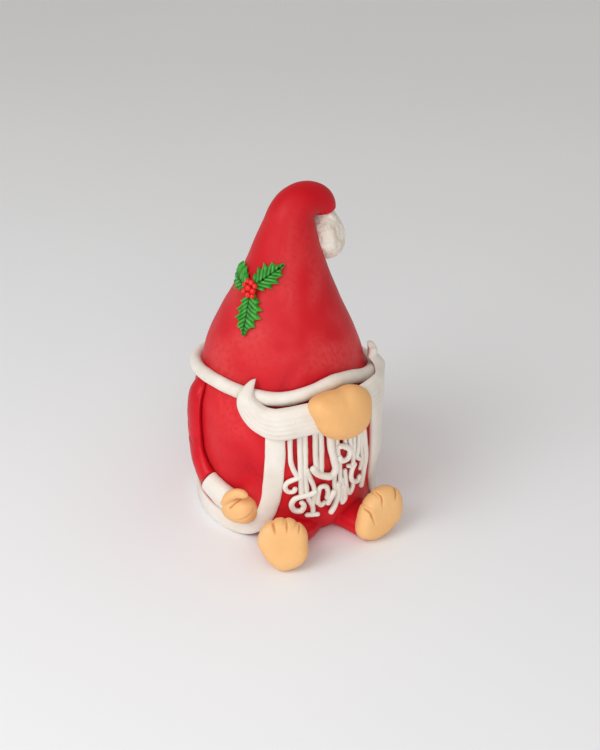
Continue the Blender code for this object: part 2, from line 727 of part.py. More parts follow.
def make_jacket_trim(parts):
    """A flat band down both edges of the open coat and round its hem, in one piece."""
    half = stations(BAND_LINE, 23, (DEGREE, 1, 0, 0))
    out, wider, thicker = LEFT_BAND
    # The left edge's extra size fades out where it turns into the hem.
    fade = np.clip((half[:, 1] - 0.030) / 0.040, 0, 1)[:, None]
    left = half + fade * (out, 0, wider, thicker)
    right = half * (-1, 1, 1, 1)
    rows = np.concatenate([right, left[-2::-1] - (360, 0, 0, 0)])
    rows = np.column_stack([rows, np.full(len(rows), GAP)])
    section = dome_section(7, 2, 3.2)
    return laid_strip("jacket_trim", rows, section, on_coat, "white_fondant", parts)


def arm_back(azimuth, height, side):
    """An azimuth along the right arm, for that side: the left arm lies further back."""
    if side == "right":
        return -azimuth
    share = np.clip((height - 0.035) / 0.115, 0, 1)
    return azimuth + ARM_BACK[0] + (ARM_BACK[1] - ARM_BACK[0]) * share


def sleeve(rows, side, count):
    line = stations(rows, count, (DEGREE, 1, 0, 0))
    azimuth = arm_back(line[:, 0], line[:, 1], side)
    if side == "left":
        line[:, 1] -= SHOULDER_DROP * np.clip((line[:, 1] - 0.060) / 0.090, 0, 1)
    return np.column_stack([azimuth, line[:, 1:], np.full(count, GAP)])


def make_arm(side, parts):
    """A red sleeve pressed along the body's side."""
    rows, section = sleeve(ARM_LINE, side, 13), dome_section(8, 3, 2.0)
    return laid_strip("arm_" + side, rows, section, on_body, "red_fondant", parts)


def make_cuff(side, parts):
    rows, section = sleeve(CUFF_LINE, side, 4), dome_section(8, 3, 2.2)
    return laid_strip("cuff_" + side, rows, section, on_body, "white_fondant", parts)


def make_hand(side, parts, *cutters):
    """A mitten: a domed palm with the thumb laid along its top."""
    azimuth, level, length, width, thickness = PALM
    cos, sin = circle(16)
    rings = []
    # It starts inside the body, which then cuts it to lie flat.
    for turn, sunk in [(0.0, 0.008)] + [(turn, 0.0) for turn in np.radians(np.linspace(3, 74, 6))]:
        across = azimuth + cos * length * math.cos(turn) ** 0.8 / DEGREE
        height = level + sin * width * math.cos(turn) ** 0.8
        radius = body_radius(height) - sunk + thickness * math.sin(turn)
        rings.append(polar(arm_back(across, level, side), radius, height))
    palm = skin("palm", rings, None, parts)
    line = stations(THUMB_LINE, 8, (DEGREE, 1, 0))
    away = body_radius(line[:, 1]) + THUMB_LIFT
    points = polar(arm_back(line[:, 0], level, side), away, line[:, 1])
    thumb = tube("thumb", points, np.repeat(line[:, 2:], 2, axis=1), 8, None, parts)
    return settled(subtract(fuse("hand_" + side, [palm, thumb], "skin_fondant", parts), *cutters))


def make_leg(side, parts, *cutters):
    """A short lobe that narrows from the body to the foot."""
    line = stations(LEG_LINES[side], 6, (DEGREE, 1, 0, 0))
    points = polar(line[:, 0], line[:, 1], line[:, 3] - 0.0005)
    leg = tube("leg_" + side, points, line[:, :1:-1], 16, "red_fondant", parts, up=(0, 0, 1), flat=True)
    return subtract(leg, *cutters)


def facing(azimuth, tilt):
    """The directions of a piece that looks out at an azimuth and up by a tilt: across, back and up."""
    turn = Matrix.Rotation(math.radians(azimuth), 3, "Z") @ Matrix.Rotation(math.radians(-tilt), 3, "X")
    return np.array(turn)


def foot_bulge(share):
    """How far the sole stands out, as a share of the foot's half depth, on the way to the rim."""
    return np.sqrt(1 - np.clip(share, 0, 0.97) ** 5)


def make_foot(side, parts, cutters, *tools):
    """A bare foot that stands on its heel, sole outward, with grooves between its four toes."""
    azimuth, away, level, heading = FEET[side]
    centre, turn = polar(azimuth, away, level), facing(heading, FOOT_LEAN)
    across, up = rim_of(FOOT_REACHES[side], np.arange(24) * 15.0)
    rings = []
    for share, face in ((0.3, 1), (0.65, 1), (0.88, 1), (1.0, 0), (0.88, -1), (0.65, -1), (0.3, -1)):
        out = np.full(24, face * FOOT_DEPTH * foot_bulge(share))
        rings.append(np.stack([across * share, out, up * share], -1) @ turn.T + centre)
    foot = skin("foot_" + side, rings, "skin_fondant", parts)
    for number, route in enumerate(TOE_GROOVES[side]):
        across, up = (np.interp(np.linspace(0, 2, 5), (0, 1, 2), places) for places in zip(*route))
        share = np.hypot(across, up) / reach(FOOT_REACHES[side], np.degrees(np.arctan2(up, across)))
        line = np.stack([across, -FOOT_DEPTH * foot_bulge(share), up], -1) @ turn.T + centre
        groove = tube(f"groove_{side}_{number}", line, (GROOVE, GROOVE), 4, None, cutters)
        subtract(foot, as_cutter(groove))
    return subtract(foot, *tools)


def make_floor_cutter(cutters):
    bm = bmesh.new()
    bmesh.ops.create_cube(bm, size=0.5, matrix=Matrix.Translation((0, 0, -0.25)))
    return as_cutter(object_of("floor_cut", mesh_from(bm, "floor_cut"), None, cutters))


def on_hat(azimuth, height, lift):
    """A point at a lift over the hat's upright part."""
    offset = polar(HAT_BEND, table(HAT_LINE, height), 0.0)
    return polar(azimuth, table(HAT_LINE, height, 2) + lift, height) + offset + np.array([*HAT_SHIFT, 0])


def make_leaf(name, parts):
    """A holly leaf: a thin arched solid with spiny edges, both faces split alike."""
    azimuth, level, pointing, length, half_width = LEAVES[name]
    heading = math.radians(pointing)
    columns = np.linspace(-1, 1, 5)
    faces = []
    for lift in (0.0006, 0.0006 + LEAF_THICKNESS):
        grid = []
        for i in range(LEAF_STATIONS):
            share = i / (LEAF_STATIONS - 1)
            belly = half_width * math.sin(math.pi * (0.08 + 0.885 * share)) ** 0.7
            spike, forward = ((0.74, -0.0002), (0.90, 0.0), (1.26, 0.0020))[i % 3]
            row = []
            for column in columns:
                edge = abs(column) == 1
                across = belly * column * (spike if edge else 1.0)
                along = length * share + (forward if edge else 0.0)
                x = across * math.cos(heading) + along * math.sin(heading)
                z = along * math.cos(heading) - across * math.sin(heading)
                wave = 0.0012 * (1 - column * column) + (0.0008 if edge and i % 3 == 2 else 0.0)
                height = level + z * 0.91
                turned = azimuth + math.degrees(x / table(HAT_LINE, height, 2))
                row.append(on_hat(turned, height, lift + wave))
            grid.append(row)
        faces.append(grid)
    return leaf_solid(name, faces, parts)


def leaf_solid(name, faces, parts):
    """Joins two grids of points into a solid, with the same triangles on both."""
    bm = bmesh.new()
    low, high = [[[bm.verts.new(p) for p in row] for row in grid] for grid in faces]
    count, columns = len(low), len(low[0])
    for i in range(count - 1):
        for j in range(columns - 1):
            for grid, order in ((high, 1), (low, -1)):
                a, b, c, d = grid[i][j], grid[i][j + 1], grid[i + 1][j + 1], grid[i + 1][j]
                split = ((a, b, c), (a, c, d)) if j < columns // 2 else ((a, b, d), (b, c, d))
                for face in split:
                    bm.faces.new(face[::order])
    rim = [(i, 0) for i in range(count)] + [(count - 1, j) for j in range(1, columns)]
    rim += [(i, columns - 1) for i in range(count - 2, -1, -1)] + [(0, j) for j in range(columns - 2, 0, -1)]
    for (i, j), (k, m) in zip(rim, rim[1:] + rim[:1]):
        bm.faces.new((low[i][j], low[k][m], high[k][m], high[i][j]))
    bmesh.ops.recalc_face_normals(bm, faces=bm.faces)
    return object_of(name, mesh_from(bm, name), "leaf_fondant", parts)


def make_berries(parts, *cutters):
    """A cluster of small balls over the leaves' stalk ends."""
    azimuth, level = BERRY_PLACE
    bm = bmesh.new()
    core = Matrix.Translation(Vector(on_hat(azimuth, level, BERRY_SEAT)))
    bmesh.ops.create_icosphere(bm, subdivisions=1, radius=BERRY_CORE, matrix=core)
    balls = [object_of("berry_core", mesh_from(bm, "berry_core"), None, parts)]
    for number, (across, along, radius) in enumerate(BERRIES):
        turned = azimuth + math.degrees(across / 0.043)
        place = Vector(on_hat(turned, level + along, BERRY_SEAT + radius * 0.7))
        spin = Matrix.Rotation(0.7 * number, 4, "X") @ Matrix.Rotation(0.4 * number, 4, "Z")
        bm = bmesh.new()
        bmesh.ops.create_icosphere(bm, subdivisions=1, radius=radius, matrix=Matrix.Translation(place) @ spin)
        balls.append(object_of(f"berry_{number}", mesh_from(bm, f"berry_{number}"), None, parts))
    return settled(subtract(fuse("holly_berries", balls, "berry_fondant", parts), *cutters))


def main():
    clear_scene()
    parts = collection("santa_cake")
    cutters = collection("cutters")
    floor = make_floor_cutter(cutters)

    body = grown(make_body(parts, cutters), cutters)
    hat = make_hat(parts)
    berry_seat = grown(hat, cutters, BERRY_SEAT)
    hat = grown(hat, cutters)
    trim = grown(make_hat_trim(parts, body, hat), cutters)
    make_pompom(parts, hat)
    nose = grown(make_nose(parts, body, trim, hat), cutters)
    jacket = grown(make_jacket_trim(parts), cutters)
    make_beard(parts, nose)
    for side in ("right", "left"):
        make_moustache(side, parts, nose, jacket, trim, hat)
        arm, cuff = make_arm(side, parts), make_cuff(side, parts)
        arm_room, cuff_room = grown(arm, cutters, 2 * GAP), grown(cuff, cutters, 0.0007)
        subtract(arm, trim, jacket)
        subtract(cuff, arm_room, jacket)
        make_hand(side, parts, body, jacket, cuff_room)
        leg = grown(make_leg(side, parts, body, jacket, floor), cutters)
        make_foot(side, parts, cutters, leg, jacket, body, floor)
    for name in LEAVES:
        make_leaf(name, parts)
    make_berries(parts, berry_seat)


main()
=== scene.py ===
"""The looks of the festive cake: each piece of sugar paste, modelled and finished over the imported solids.

Metres, +Z up. The figure looks along -Y and an azimuth is in degrees about Z: 0 is the front and +90
the figure's left side.
"""

import itertools
import math

import bmesh
import bpy
import numpy as np
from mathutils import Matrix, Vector


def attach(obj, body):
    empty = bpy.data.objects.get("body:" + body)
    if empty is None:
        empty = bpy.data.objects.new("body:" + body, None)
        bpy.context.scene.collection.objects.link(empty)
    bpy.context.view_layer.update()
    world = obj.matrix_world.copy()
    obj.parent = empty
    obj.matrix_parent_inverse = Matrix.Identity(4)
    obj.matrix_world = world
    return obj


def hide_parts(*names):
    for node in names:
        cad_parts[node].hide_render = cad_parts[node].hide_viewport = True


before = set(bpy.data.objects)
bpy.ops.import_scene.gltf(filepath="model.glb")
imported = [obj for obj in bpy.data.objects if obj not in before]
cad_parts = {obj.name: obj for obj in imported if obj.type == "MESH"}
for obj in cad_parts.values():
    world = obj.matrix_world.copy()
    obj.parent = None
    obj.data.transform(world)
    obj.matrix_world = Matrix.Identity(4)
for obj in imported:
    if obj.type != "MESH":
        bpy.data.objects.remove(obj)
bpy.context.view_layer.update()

# ---- Sizes --------------------------------------------------------------------------------------

GIRTH = 0.0925  # the body's radius at the chest
DEGREE = math.radians(1) * GIRTH  # a degree of azimuth, as a length round the chest

FLOOR_GAP = 0.0002  # nothing reaches lower than this

BODY_TOP = 0.155
BODY_END = 0.168  # its top, out of sight inside the hat
BODY_FOOT = 0.014  # height of its rounded foot
# Over the seam by this much, and within this height, the body draws in by this share, to stay in the hat.
BODY_DRAWN_IN = (0.001, 0.004, 0.06)
# (height, radius) of the covered cake, from the ground to the shoulder that carries the hat.
BODY_PROFILE = (
    (0.000, 0.0775),
    (0.005, 0.0825),
    (0.012, 0.0868),
    (0.022, 0.0890),
    (0.040, 0.0898),
    (0.060, 0.0914),
    (0.080, 0.0925),
    (0.100, 0.0929),
    (0.117, 0.0922),
    (0.132, 0.0896),
    (0.144, 0.0850),
    (BODY_TOP, 0.0797),
    (0.172, 0.0730),
)
# The hat stands on a plane that falls towards the figure's left and back: (height on the axis,
# slope along X, slope along Y).
SEAM = (0.1480, -0.125, -0.125)

HAT_SHIFT = (-0.0023, 0.0013)  # the hat sits a little towards the figure's right
HAT_BEND = 85.0  # azimuth that the tip bends towards
# The upright part of the hat: (height, offset of its middle towards the bend, radius).
HAT_LINE = (
    (0.1320, 0.0000, 0.0896),
    (0.1440, 0.0000, 0.0850),
    (BODY_TOP, 0.0000, 0.0802),
    (0.1650, 0.0000, 0.0775),
    (0.1800, -0.0003, 0.0730),
    (0.1950, -0.0003, 0.0668),
    (0.2100, 0.0000, 0.0598),
    (0.2250, 0.0012, 0.0525),
    (0.2400, 0.0023, 0.0454),
    (0.2550, 0.0032, 0.0393),
    (0.2700, 0.0042, 0.0336),
    (0.2850, 0.0054, 0.0281),
    (0.2985, 0.0072, 0.0235),
)
HAT_LEVEL = 0.1740  # from this height up the hat's rings are level
HAT_CREASE = (0.0318, 0.3000)  # offset and height of the crease that the tip folds round
HAT_REACH = (0.0474, 0.0235)  # from the crease to the outside of the fold, at its start and its end
HAT_HALF_DEPTH = (0.0235, 0.0118)  # half of the fold's depth, at its start and its end
HAT_INNER = (0.0012, 0.0006)  # from the crease to the inside of the fold, and how much more at its end
HAT_FOLD = 0.90  # the share of half a turn that the tip folds through
HAT_SIDES = 240

TRIM_RADIUS = 0.0840  # of the roll round the hat's foot, to its middle line, at the front
TRIM_SPREAD = (0.158, 0.22)  # under this height the roll lies further out by this share of the drop
TRIM_ROLL = (0.0062, 0.0069)  # half of the roll's depth and of its height
# (azimuth, height) of its middle: it rides over the nose and hangs lower behind.
TRIM_LINE = (
    (-180, 0.1365),
    (-150, 0.1440),
    (-120, 0.1525),
    (-100, 0.1586),
    (-78, 0.1618),
    (-57, 0.1597),
    (-30, 0.1580),
    (-12, 0.1630),
    (6, 0.1676),
    (20, 0.1635),
    (32, 0.1568),
    (45, 0.1505),
    (60, 0.1440),
    (85, 0.1390),
    (130, 0.1365),
    (180, 0.1365),
)

POMPOM = (0.0180, 0.0252)  # half width and half height
POMPOM_PLACE = (0.0450, 0.2800)  # distance from the hat's middle line, and height

NOSE_PLACE = (-0.5, 0.1050, 0.1465)  # azimuth, distance from the axis, height
NOSE_DEPTH = 0.0180  # half of it
NOSE_TILT = 9.0  # how far it looks up
NOSE_SIZE = 0.030  # half of its usual width
# How far it reaches from its middle at every 30 degrees, from the figure's left up and over: it is
# pressed flat by the roll above it, and has a corner at its upper right end.
NOSE_REACHES = (
    0.0315, 0.0330, 0.0290, 0.0240, 0.0278, 0.0356,
    0.0272, 0.0256, 0.0247, 0.0250, 0.0280, 0.0312,
)

# The moustache's halves: (azimuth, height, half width, thickness, lift over the beard's roots).
MOUSTACHE_LINES = {
    "right": (
        (-6.0, 0.1432, 0.0155, 0.0085, 0.0062),
        (-16.0, 0.1440, 0.0163, 0.0102, 0.0062),
        (-27.0, 0.1413, 0.0163, 0.0114, 0.0058),
        (-36.0, 0.1383, 0.0161, 0.0112, 0.0034),
        (-43.0, 0.1405, 0.0143, 0.0112, 0.0004),
        (-48.5, 0.1480, 0.0125, 0.0106, 0.0000),
        (-51.5, 0.1560, 0.0102, 0.0098, 0.0000),
        (-52.3, 0.1630, 0.0075, 0.0085, 0.0000),
        (-51.5, 0.1690, 0.0046, 0.0062, 0.0000),
        (-50.0, 0.1735, 0.0014, 0.0025, 0.0000),
    ),
    "left": (
        (6.0, 0.1432, 0.0155, 0.0085, 0.0062),
        (16.0, 0.1452, 0.0172, 0.0102, 0.0062),
        (27.0, 0.1445, 0.0178, 0.0108, 0.0058),
        (38.0, 0.1415, 0.0170, 0.0098, 0.0032),
        (47.0, 0.1420, 0.0150, 0.0086, 0.0004),
        (55.0, 0.1475, 0.0125, 0.0072, 0.0000),
        (60.0, 0.1550, 0.0112, 0.0082, 0.0008),
        (62.5, 0.1612, 0.0098, 0.0086, 0.0020),
        (63.5, 0.1662, 0.0072, 0.0070, 0.0018),
        (63.0, 0.1705, 0.0026, 0.0032, 0.0010),
    ),
}

# Each strand of the beard: radius, lift over the chest, and the (azimuth, height) points that it
# passes, heights in millimetres.
BEARD_STRANDS = (
    (0.0023, 0.0000, ((-27, 130), (-27, 107), (-26.5, 94), (-24, 82), (-21, 74))),
    (0.0023, 0.0012, ((-20, 78), (-25, 76), (-29, 72), (-30, 66), (-28, 61.5), (-25, 62), (-24, 67))),
    (0.0026, 0.0000, ((-21.6, 130), (-21.5, 106), (-21, 80), (-20.5, 54))),
    (0.0025, 0.0000, ((-18.6, 130), (-18.4, 100), (-18, 70), (-16.5, 52), (-13.5, 40), (-13, 32))),
    (0.0024, 0.0006, ((-18, 88), (-15.5, 75), (-13.2, 64), (-12.8, 52), (-14, 40))),
    (0.0023, 0.0012, ((-18.5, 32), (-14, 31), (-9, 30))),
    (0.0026, 0.0030, (
        (-11.5, 61.5), (-15, 58), (-20, 56.5), (-24.5, 54), (-26.4, 47),
        (-24.5, 40), (-21, 39), (-19.3, 45), (-21.5, 51),
    )),
    (0.0027, 0.0000, ((-12.6, 130), (-12.5, 100), (-11.5, 78))),
    (0.0027, 0.0000, ((-9.2, 130), (-9, 100), (-9, 76))),
    (0.0035, 0.0016, (
        (-4, 130), (-3.5, 105), (-1.5, 90), (-0.6, 80),
        (-3, 74.5), (-7, 76), (-11.5, 80.5), (-15, 90),
    )),
    (0.0024, 0.0010, ((0, 130), (1, 102), (2.5, 84), (4, 61))),
    (0.0027, 0.0032, ((0, 107), (5, 104), (8.6, 96.5), (7, 88.5), (3, 89), (1, 96))),
    (0.0022, 0.0010, ((5.6, 130), (6.5, 98))),
    (0.0022, 0.0016, ((9.4, 130), (10.5, 97), (12.6, 86), (11.2, 76.5), (7.6, 79))),
    (0.0022, 0.0010, ((13, 130), (13.1, 96), (12.4, 82))),
    (0.0023, 0.0012, ((16.4, 130), (16.6, 92), (16, 83), (19.5, 77))),
    (0.0020, 0.0010, ((19.2, 130), (20, 88), (21, 75), (19.5, 64))),
    (0.0026, 0.0022, ((18.6, 130), (22, 94), (23.6, 76), (22.4, 62), (21.5, 42))),
    (0.0024, 0.0028, ((14, 79), (11.6, 74), (10.8, 65), (13, 57), (17, 54.5), (18.5, 61))),
    (0.0023, 0.0010, ((6.5, 76), (8, 60), (10, 48), (12.4, 42.5), (14.2, 47), (14, 58))),
    (0.0024, 0.0014, ((-10.5, 42), (-10.6, 55), (-9, 63), (-6.4, 63), (-4.6, 57), (-5, 46))),
    (0.0023, 0.0006, ((-10.5, 46), (-8, 40), (-5, 44))),
    (0.0029, 0.0030, ((-0.4, 57), (-2.5, 50), (-5.2, 40.5))),
    (0.0029, 0.0012, ((2, 64), (2.6, 46), (0.4, 35), (-2.6, 27))),
    (0.0023, 0.0004, ((0, 76), (0, 62), (1, 50))),
    (0.0024, 0.0014, ((3.6, 56), (6, 56), (7.8, 47), (8, 38), (5, 34.5))),
    (0.0023, 0.0002, ((5, 66), (6, 48), (5.6, 36))),
)

# The coat's band, from under the moustache down and round to the back: (azimuth, height).
BAND_LINE = (
    (35.5, 0.1330),
    (35.5, 0.1150),
    (36.0, 0.0900),
    (37.0, 0.0700),
    (39.2, 0.0480),
    (42.6, 0.0310),
    (47.6, 0.0195),
    (55.0, 0.0125),
    (65.0, 0.0102),
    (90.0, 0.0099),
    (135.0, 0.0099),
    (180.0, 0.0099),
)
BAND_SIZE = (0.0095, 0.0038)  # half width and thickness
HEM_SEAT = 0.022  # under this height the band hangs straight down, over the cake's rounded edge
LEFT_BAND = (4.0, 0.0045, 0.0020)  # the figure's left edge is laid this much further out, wider and thicker

# The arm: (azimuth, height, half width, thickness), from the shoulder to the end of the sleeve.
ARM_LINE = (
    (98.5, 0.1500, 0.0080, 0.0050),
    (99.0, 0.1425, 0.0110, 0.0085),
    (97.5, 0.1250, 0.0122, 0.0096),
    (96.5, 0.1050, 0.0124, 0.0096),
    (96.0, 0.0900, 0.0124, 0.0098),
    (94.5, 0.0780, 0.0124, 0.0106),
    (90.5, 0.0670, 0.0125, 0.0118),
    (86.0, 0.0590, 0.0126, 0.0130),
    (81.5, 0.0535, 0.0128, 0.0138),
)
CUFF_LINE = (
    (81.2, 0.0532, 0.0136, 0.0152),
    (72.0, 0.0462, 0.0145, 0.0158),
    (63.5, 0.0405, 0.0150, 0.0158),
)
PALM = (59.5, 0.0332, 0.0196, 0.0168, 0.0165)  # azimuth, height, half length, half width, thickness
THUMB_LINE = (  # azimuth, height and radius
    (66.0, 0.0380, 0.0052),
    (63.2, 0.0475, 0.0051),
    (60.0, 0.0538, 0.0051),
    (56.3, 0.0577, 0.0048),
    (52.6, 0.0583, 0.0043),
    (50.2, 0.0572, 0.0027),
)
THUMB_LIFT = 0.0115
HAND_CREASES = (  # azimuth and height along the crease under the thumb, and the fold of the fingers
    ((51.5, 0.0545), (55.0, 0.0500), (58.0, 0.0450), (60.5, 0.0395)),
    ((48.0, 0.0420), (49.0, 0.0365), (51.5, 0.0315), (56.0, 0.0280)),
)
PINCHES = ((0.047, 0.0010), (0.063, 0.0026))  # how far down the sleeve each crease is, and how deep
PINCH_WIDTH = 0.0011
ARM_BACK = (40.0, 18.0)  # how much further back the left arm lies, at the hand and at the shoulder
SHOULDER_DROP = 0.0120  # how much lower its shoulder is

# The legs' middle lines: (azimuth, distance from the axis, half width, half height).
LEG_LINES = {
    "right": (
        (-17.0, 0.0620, 0.0250, 0.0130),
        (-25.0, 0.0830, 0.0215, 0.0135),
        (-30.5, 0.1030, 0.0165, 0.0138),
        (-31.5, 0.1210, 0.0152, 0.0142),
    ),
    "left": (
        (17.5, 0.0620, 0.0235, 0.0118),
        (19.0, 0.0845, 0.0205, 0.0118),
        (19.0, 0.1050, 0.0205, 0.0117),
        (19.5, 0.1190, 0.0205, 0.0116),
    ),
}
# Each foot: azimuth, distance from the axis and height of its middle, and the azimuth it faces.
FEET = {"right": (-31.0, 0.1290, 0.0258, -31.0), "left": (20.3, 0.1200, 0.0262, 2.0)}
FOOT_LEAN = 15.0
FOOT_DEPTH = 0.0105  # half of it
FOOT_SIZE = 0.026  # half of its usual width
# How far each reaches from its middle at every 30 degrees, from the figure's left up and over.
FOOT_REACHES = {
    "right": (0.0235, 0.0260, 0.0268, 0.0262, 0.0255, 0.0250, 0.0235, 0.0208, 0.0225, 0.0258, 0.0262, 0.0263),
    "left": (0.0250, 0.0275, 0.0265, 0.0235, 0.0212, 0.0222, 0.0255, 0.0325, 0.0295, 0.0240, 0.0220, 0.0238),
}
# The grooves between the toes, from the rim inward, each as three (across, up) from the foot's middle.
TOE_GROOVES = {
    "right": (
        ((-0.0103, 0.0256), (-0.0082, 0.0193), (-0.0057, 0.0120)),
        ((0.0024, 0.0292), (0.0040, 0.0219), (0.0047, 0.0135)),
        ((0.0155, 0.0256), (0.0159, 0.0196), (0.0157, 0.0125)),
    ),
    "left": (
        ((-0.0072, 0.0298), (-0.0013, 0.0175), (-0.0026, 0.0060)),
        ((0.0190, 0.0215), (0.0150, 0.0135), (0.0122, 0.0090)),
        ((-0.0263, 0.0197), (-0.0164, 0.0057), (-0.0130, -0.0085)),
    ),
}
GROOVE_WIDTH = 0.0009  # from the middle of a groove or crease to where it is a third as deep
GROOVE_DEPTH = 0.0022  # of the grooves between the toes
CREASE_DEPTH = 0.0012  # of the hands' creases
TOE_NOTCH = (4.5, 0.055)  # degrees from a groove's middle, and the share by which the rim draws in there

LEAF_THICKNESS = 0.0020
LEAVES = {  # azimuth and height of the stalk end, the way it points from straight up, length and half width
    "holly_leaf_1": (-80.0, 0.2460, -77.0, 0.0330, 0.0108),
    "holly_leaf_2": (-70.8, 0.2478, 41.0, 0.0330, 0.0108),
    "holly_leaf_3": (-71.0, 0.2420, 168.5, 0.0380, 0.0116),
}
BERRY_PLACE = (-72.5, 0.2475)
BERRY_GIRTH = 0.043  # the hat's radius there
BERRY_SEAT = 0.0045  # how far over the hat the berries start, clear of the leaves
BERRIES = (  # across, along and radius
    (0.0000, 0.0000, 0.0032),
    (0.0048, -0.0014, 0.0029),
    (0.0016, -0.0054, 0.0030),
    (-0.0038, -0.0040, 0.0028),
    (-0.0052, 0.0010, 0.0026),
    (0.0014, 0.0050, 0.0029),
    (-0.0030, 0.0050, 0.0026),
    (0.0054, 0.0030, 0.0026),
    (0.0056, -0.0056, 0.0025),
)


# ---- Curves -------------------------------------------------------------------------------------


def hermite(knots, values, x):
    """The smooth curve through values at knots, read at x."""
    knots, values = np.array(knots, float), np.array(values, float)
    slopes = np.gradient(values, knots, axis=0)
    x = np.clip(np.asarray(x, float), knots[0], knots[-1])
    i = np.clip(np.searchsorted(knots, x, side="right") - 1, 0, len(knots) - 2)
    step = knots[i + 1] - knots[i]
    t = (x - knots[i]) / step
    if values.ndim > 1:
        step, t = step[:, None], t[:, None]
    return (
        (2 * t**3 - 3 * t**2 + 1) * values[i]
        + (t**3 - 2 * t**2 + t) * step * slopes[i]
        + (3 * t**2 - 2 * t**3) * values[i + 1]
        + (t**3 - t**2) * step * slopes[i + 1]
    )


def table(rows, x, column=1):
    """A column of a table, smoothed and read at x of its first column."""
    return hermite([row[0] for row in rows], [row[column] for row in rows], x)


def reach(reaches, degrees):
    """How far a rounded piece reaches in a direction, from its reaches at even steps all round."""
    steps = np.arange(-2, len(reaches) + 3)
    wrapped = np.take(reaches, steps, mode="wrap")
    return hermite(steps * 360 / len(reaches), wrapped, np.asarray(degrees) % 360)


def rim_of(reaches, degrees):
    """Across and up at the rim of a rounded piece, in a direction from its middle."""
    size, angle = reach(reaches, degrees), np.radians(degrees)
    return size * np.cos(angle), size * np.sin(angle)


def polar(azimuth, radius, height):
    """A point at an azimuth in degrees, a distance from the axis and a height."""
    angle = np.radians(azimuth)
    return np.stack(np.broadcast_arrays(radius * np.sin(angle), -radius * np.cos(angle), height), -1)


def seam_height(x, y):
    """Height of the plane that the hat stands on."""
    return SEAM[0] + SEAM[1] * x + SEAM[2] * y


def body_radius(height):
    """Distance from the axis to the covered cake's side."""
    return table(BODY_PROFILE, height)


def on_body(_, height):
    """What the arms lie on."""
    return body_radius(height)


def on_coat(_, height):
    """What the coat's band lies on: it hangs straight down over the cake's rounded foot."""
    return body_radius(np.maximum(height, HEM_SEAT))


def shifted(azimuth, radius):
    """A distance from the hat's middle, as a distance from the body's axis."""
    angle = np.radians(azimuth)
    return radius + HAT_SHIFT[0] * np.sin(angle) - HAT_SHIFT[1] * np.cos(angle)


def trim_middle(azimuth):
    """Distance from the axis and height of the roll's middle line, which runs on smoothly past the back."""
    before, after = TRIM_LINE[-2], TRIM_LINE[1]
    height = table(((before[0] - 360, before[1]), *TRIM_LINE, (after[0] + 360, after[1])), azimuth)
    level, share = TRIM_SPREAD
    return shifted(azimuth, TRIM_RADIUS + share * np.clip(level - height, 0, None)), height


def on_figure(azimuth, height):
    """What the moustache lies on: the body, then over the roll, then the hat."""
    roll, middle = trim_middle(azimuth)
    roll = roll + TRIM_ROLL[0]
    hat = shifted(azimuth, table(HAT_LINE, height, 2))
    # It bridges the hollow under the roll and falls to the hat's side above it.
    above = np.clip((height - middle - 0.002) / 0.018, 0, 1)
    over = roll + (hat - roll) * above * above * (3 - 2 * above)
    return np.maximum(over, body_radius(np.minimum(height, BODY_TOP)))


# ---- Surfaces -----------------------------------------------------------------------------------


def lattice(cell, seed):
    """A fixed random value from -1 to 1 at each corner of a grid of cells."""
    x, y, z = cell[..., 0], cell[..., 1], cell[..., 2]
    mixed = (x * 73856093) ^ (y * 19349663) ^ (z * 83492791) ^ (seed * 40503)
    mixed = ((mixed ^ (mixed >> 13)) * 1274126177) & 0xFFFFFFFF
    mixed = mixed ^ (mixed >> 16)
    return (mixed & 0xFFFF) / 32767.5 - 1


def noise(points, size, seed=0):
    """Smooth noise from -1 to 1, in lumps of that size in metres."""
    place = np.asarray(points, float) / size
    cell = np.floor(place).astype(np.int64)
    t = place - cell
    t = t * t * (3 - 2 * t)
    total = 0.0
    for corner in itertools.product((0, 1), repeat=3):
        total = total + np.prod(np.where(corner, t, 1 - t), axis=-1) * lattice(cell + corner, seed)
    return total


def circle(sides):
    """Cosines and sines at even steps round a circle."""
    turn = np.arange(sides) * 2 * math.pi / sides
    return np.cos(turn), np.sin(turn)


def unit(vectors):
    """The vectors at length 1."""
    return vectors / (np.linalg.norm(vectors, axis=-1, keepdims=True) + 1e-12)


def normals_of(grid):
    """Outward directions of a grid whose rows are closed rings."""
    round_ring = np.roll(grid, -1, 1) - np.roll(grid, 1, 1)
    outward = unit(np.cross(round_ring, np.gradient(grid, axis=0)))
    away = grid - grid.mean(axis=1, keepdims=True)
    return outward if (outward * away).sum() > 0 else -outward


def kneaded(grid, *layers):
    """The grid with the unevenness of a piece made by hand. A layer is (amount, size, seed)."""
    swell = sum(amount * noise(grid, size, seed) for amount, size, seed in layers)
    return grid + normals_of(grid) * swell[..., None]


def over_floor(grid):
    """The grid with nothing lower than the floor."""
    grid[..., 2] = np.maximum(grid[..., 2], FLOOR_GAP)
    return grid


def turned(axis, degrees):
    """A rotation about X, Y or Z as three rows."""
    cos, sin = math.cos(math.radians(degrees)), math.sin(math.radians(degrees))
    first, second = [i for i in range(3) if i != axis]
    matrix = np.eye(3)
    matrix[first, first] = matrix[second, second] = cos
    matrix[first, second], matrix[second, first] = (-sin, sin) if axis != 1 else (sin, -sin)
    return matrix


def groove_of(across, up, start, end, width, fade=0.0):
    """1 in the middle of a groove cut from start to end, falling to 0 beside it, and fading to its end."""
    start, end = np.array(start), np.array(end)
    way = end - start
    share = np.clip(((across - start[0]) * way[0] + (up - start[1]) * way[1]) / (way @ way), 0, 1)
    off = np.hypot(across - start[0] - share * way[0], up - start[1] - share * way[1])
    return np.exp(-((off / width) ** 2)) * (np.clip((1 - share) * fade, 0, 1) if fade else 1.0)


def knots_along(line):
    """How far along a line each of its points is."""
    return np.concatenate([[0.0], np.cumsum(np.linalg.norm(np.diff(line, axis=0), axis=1))])


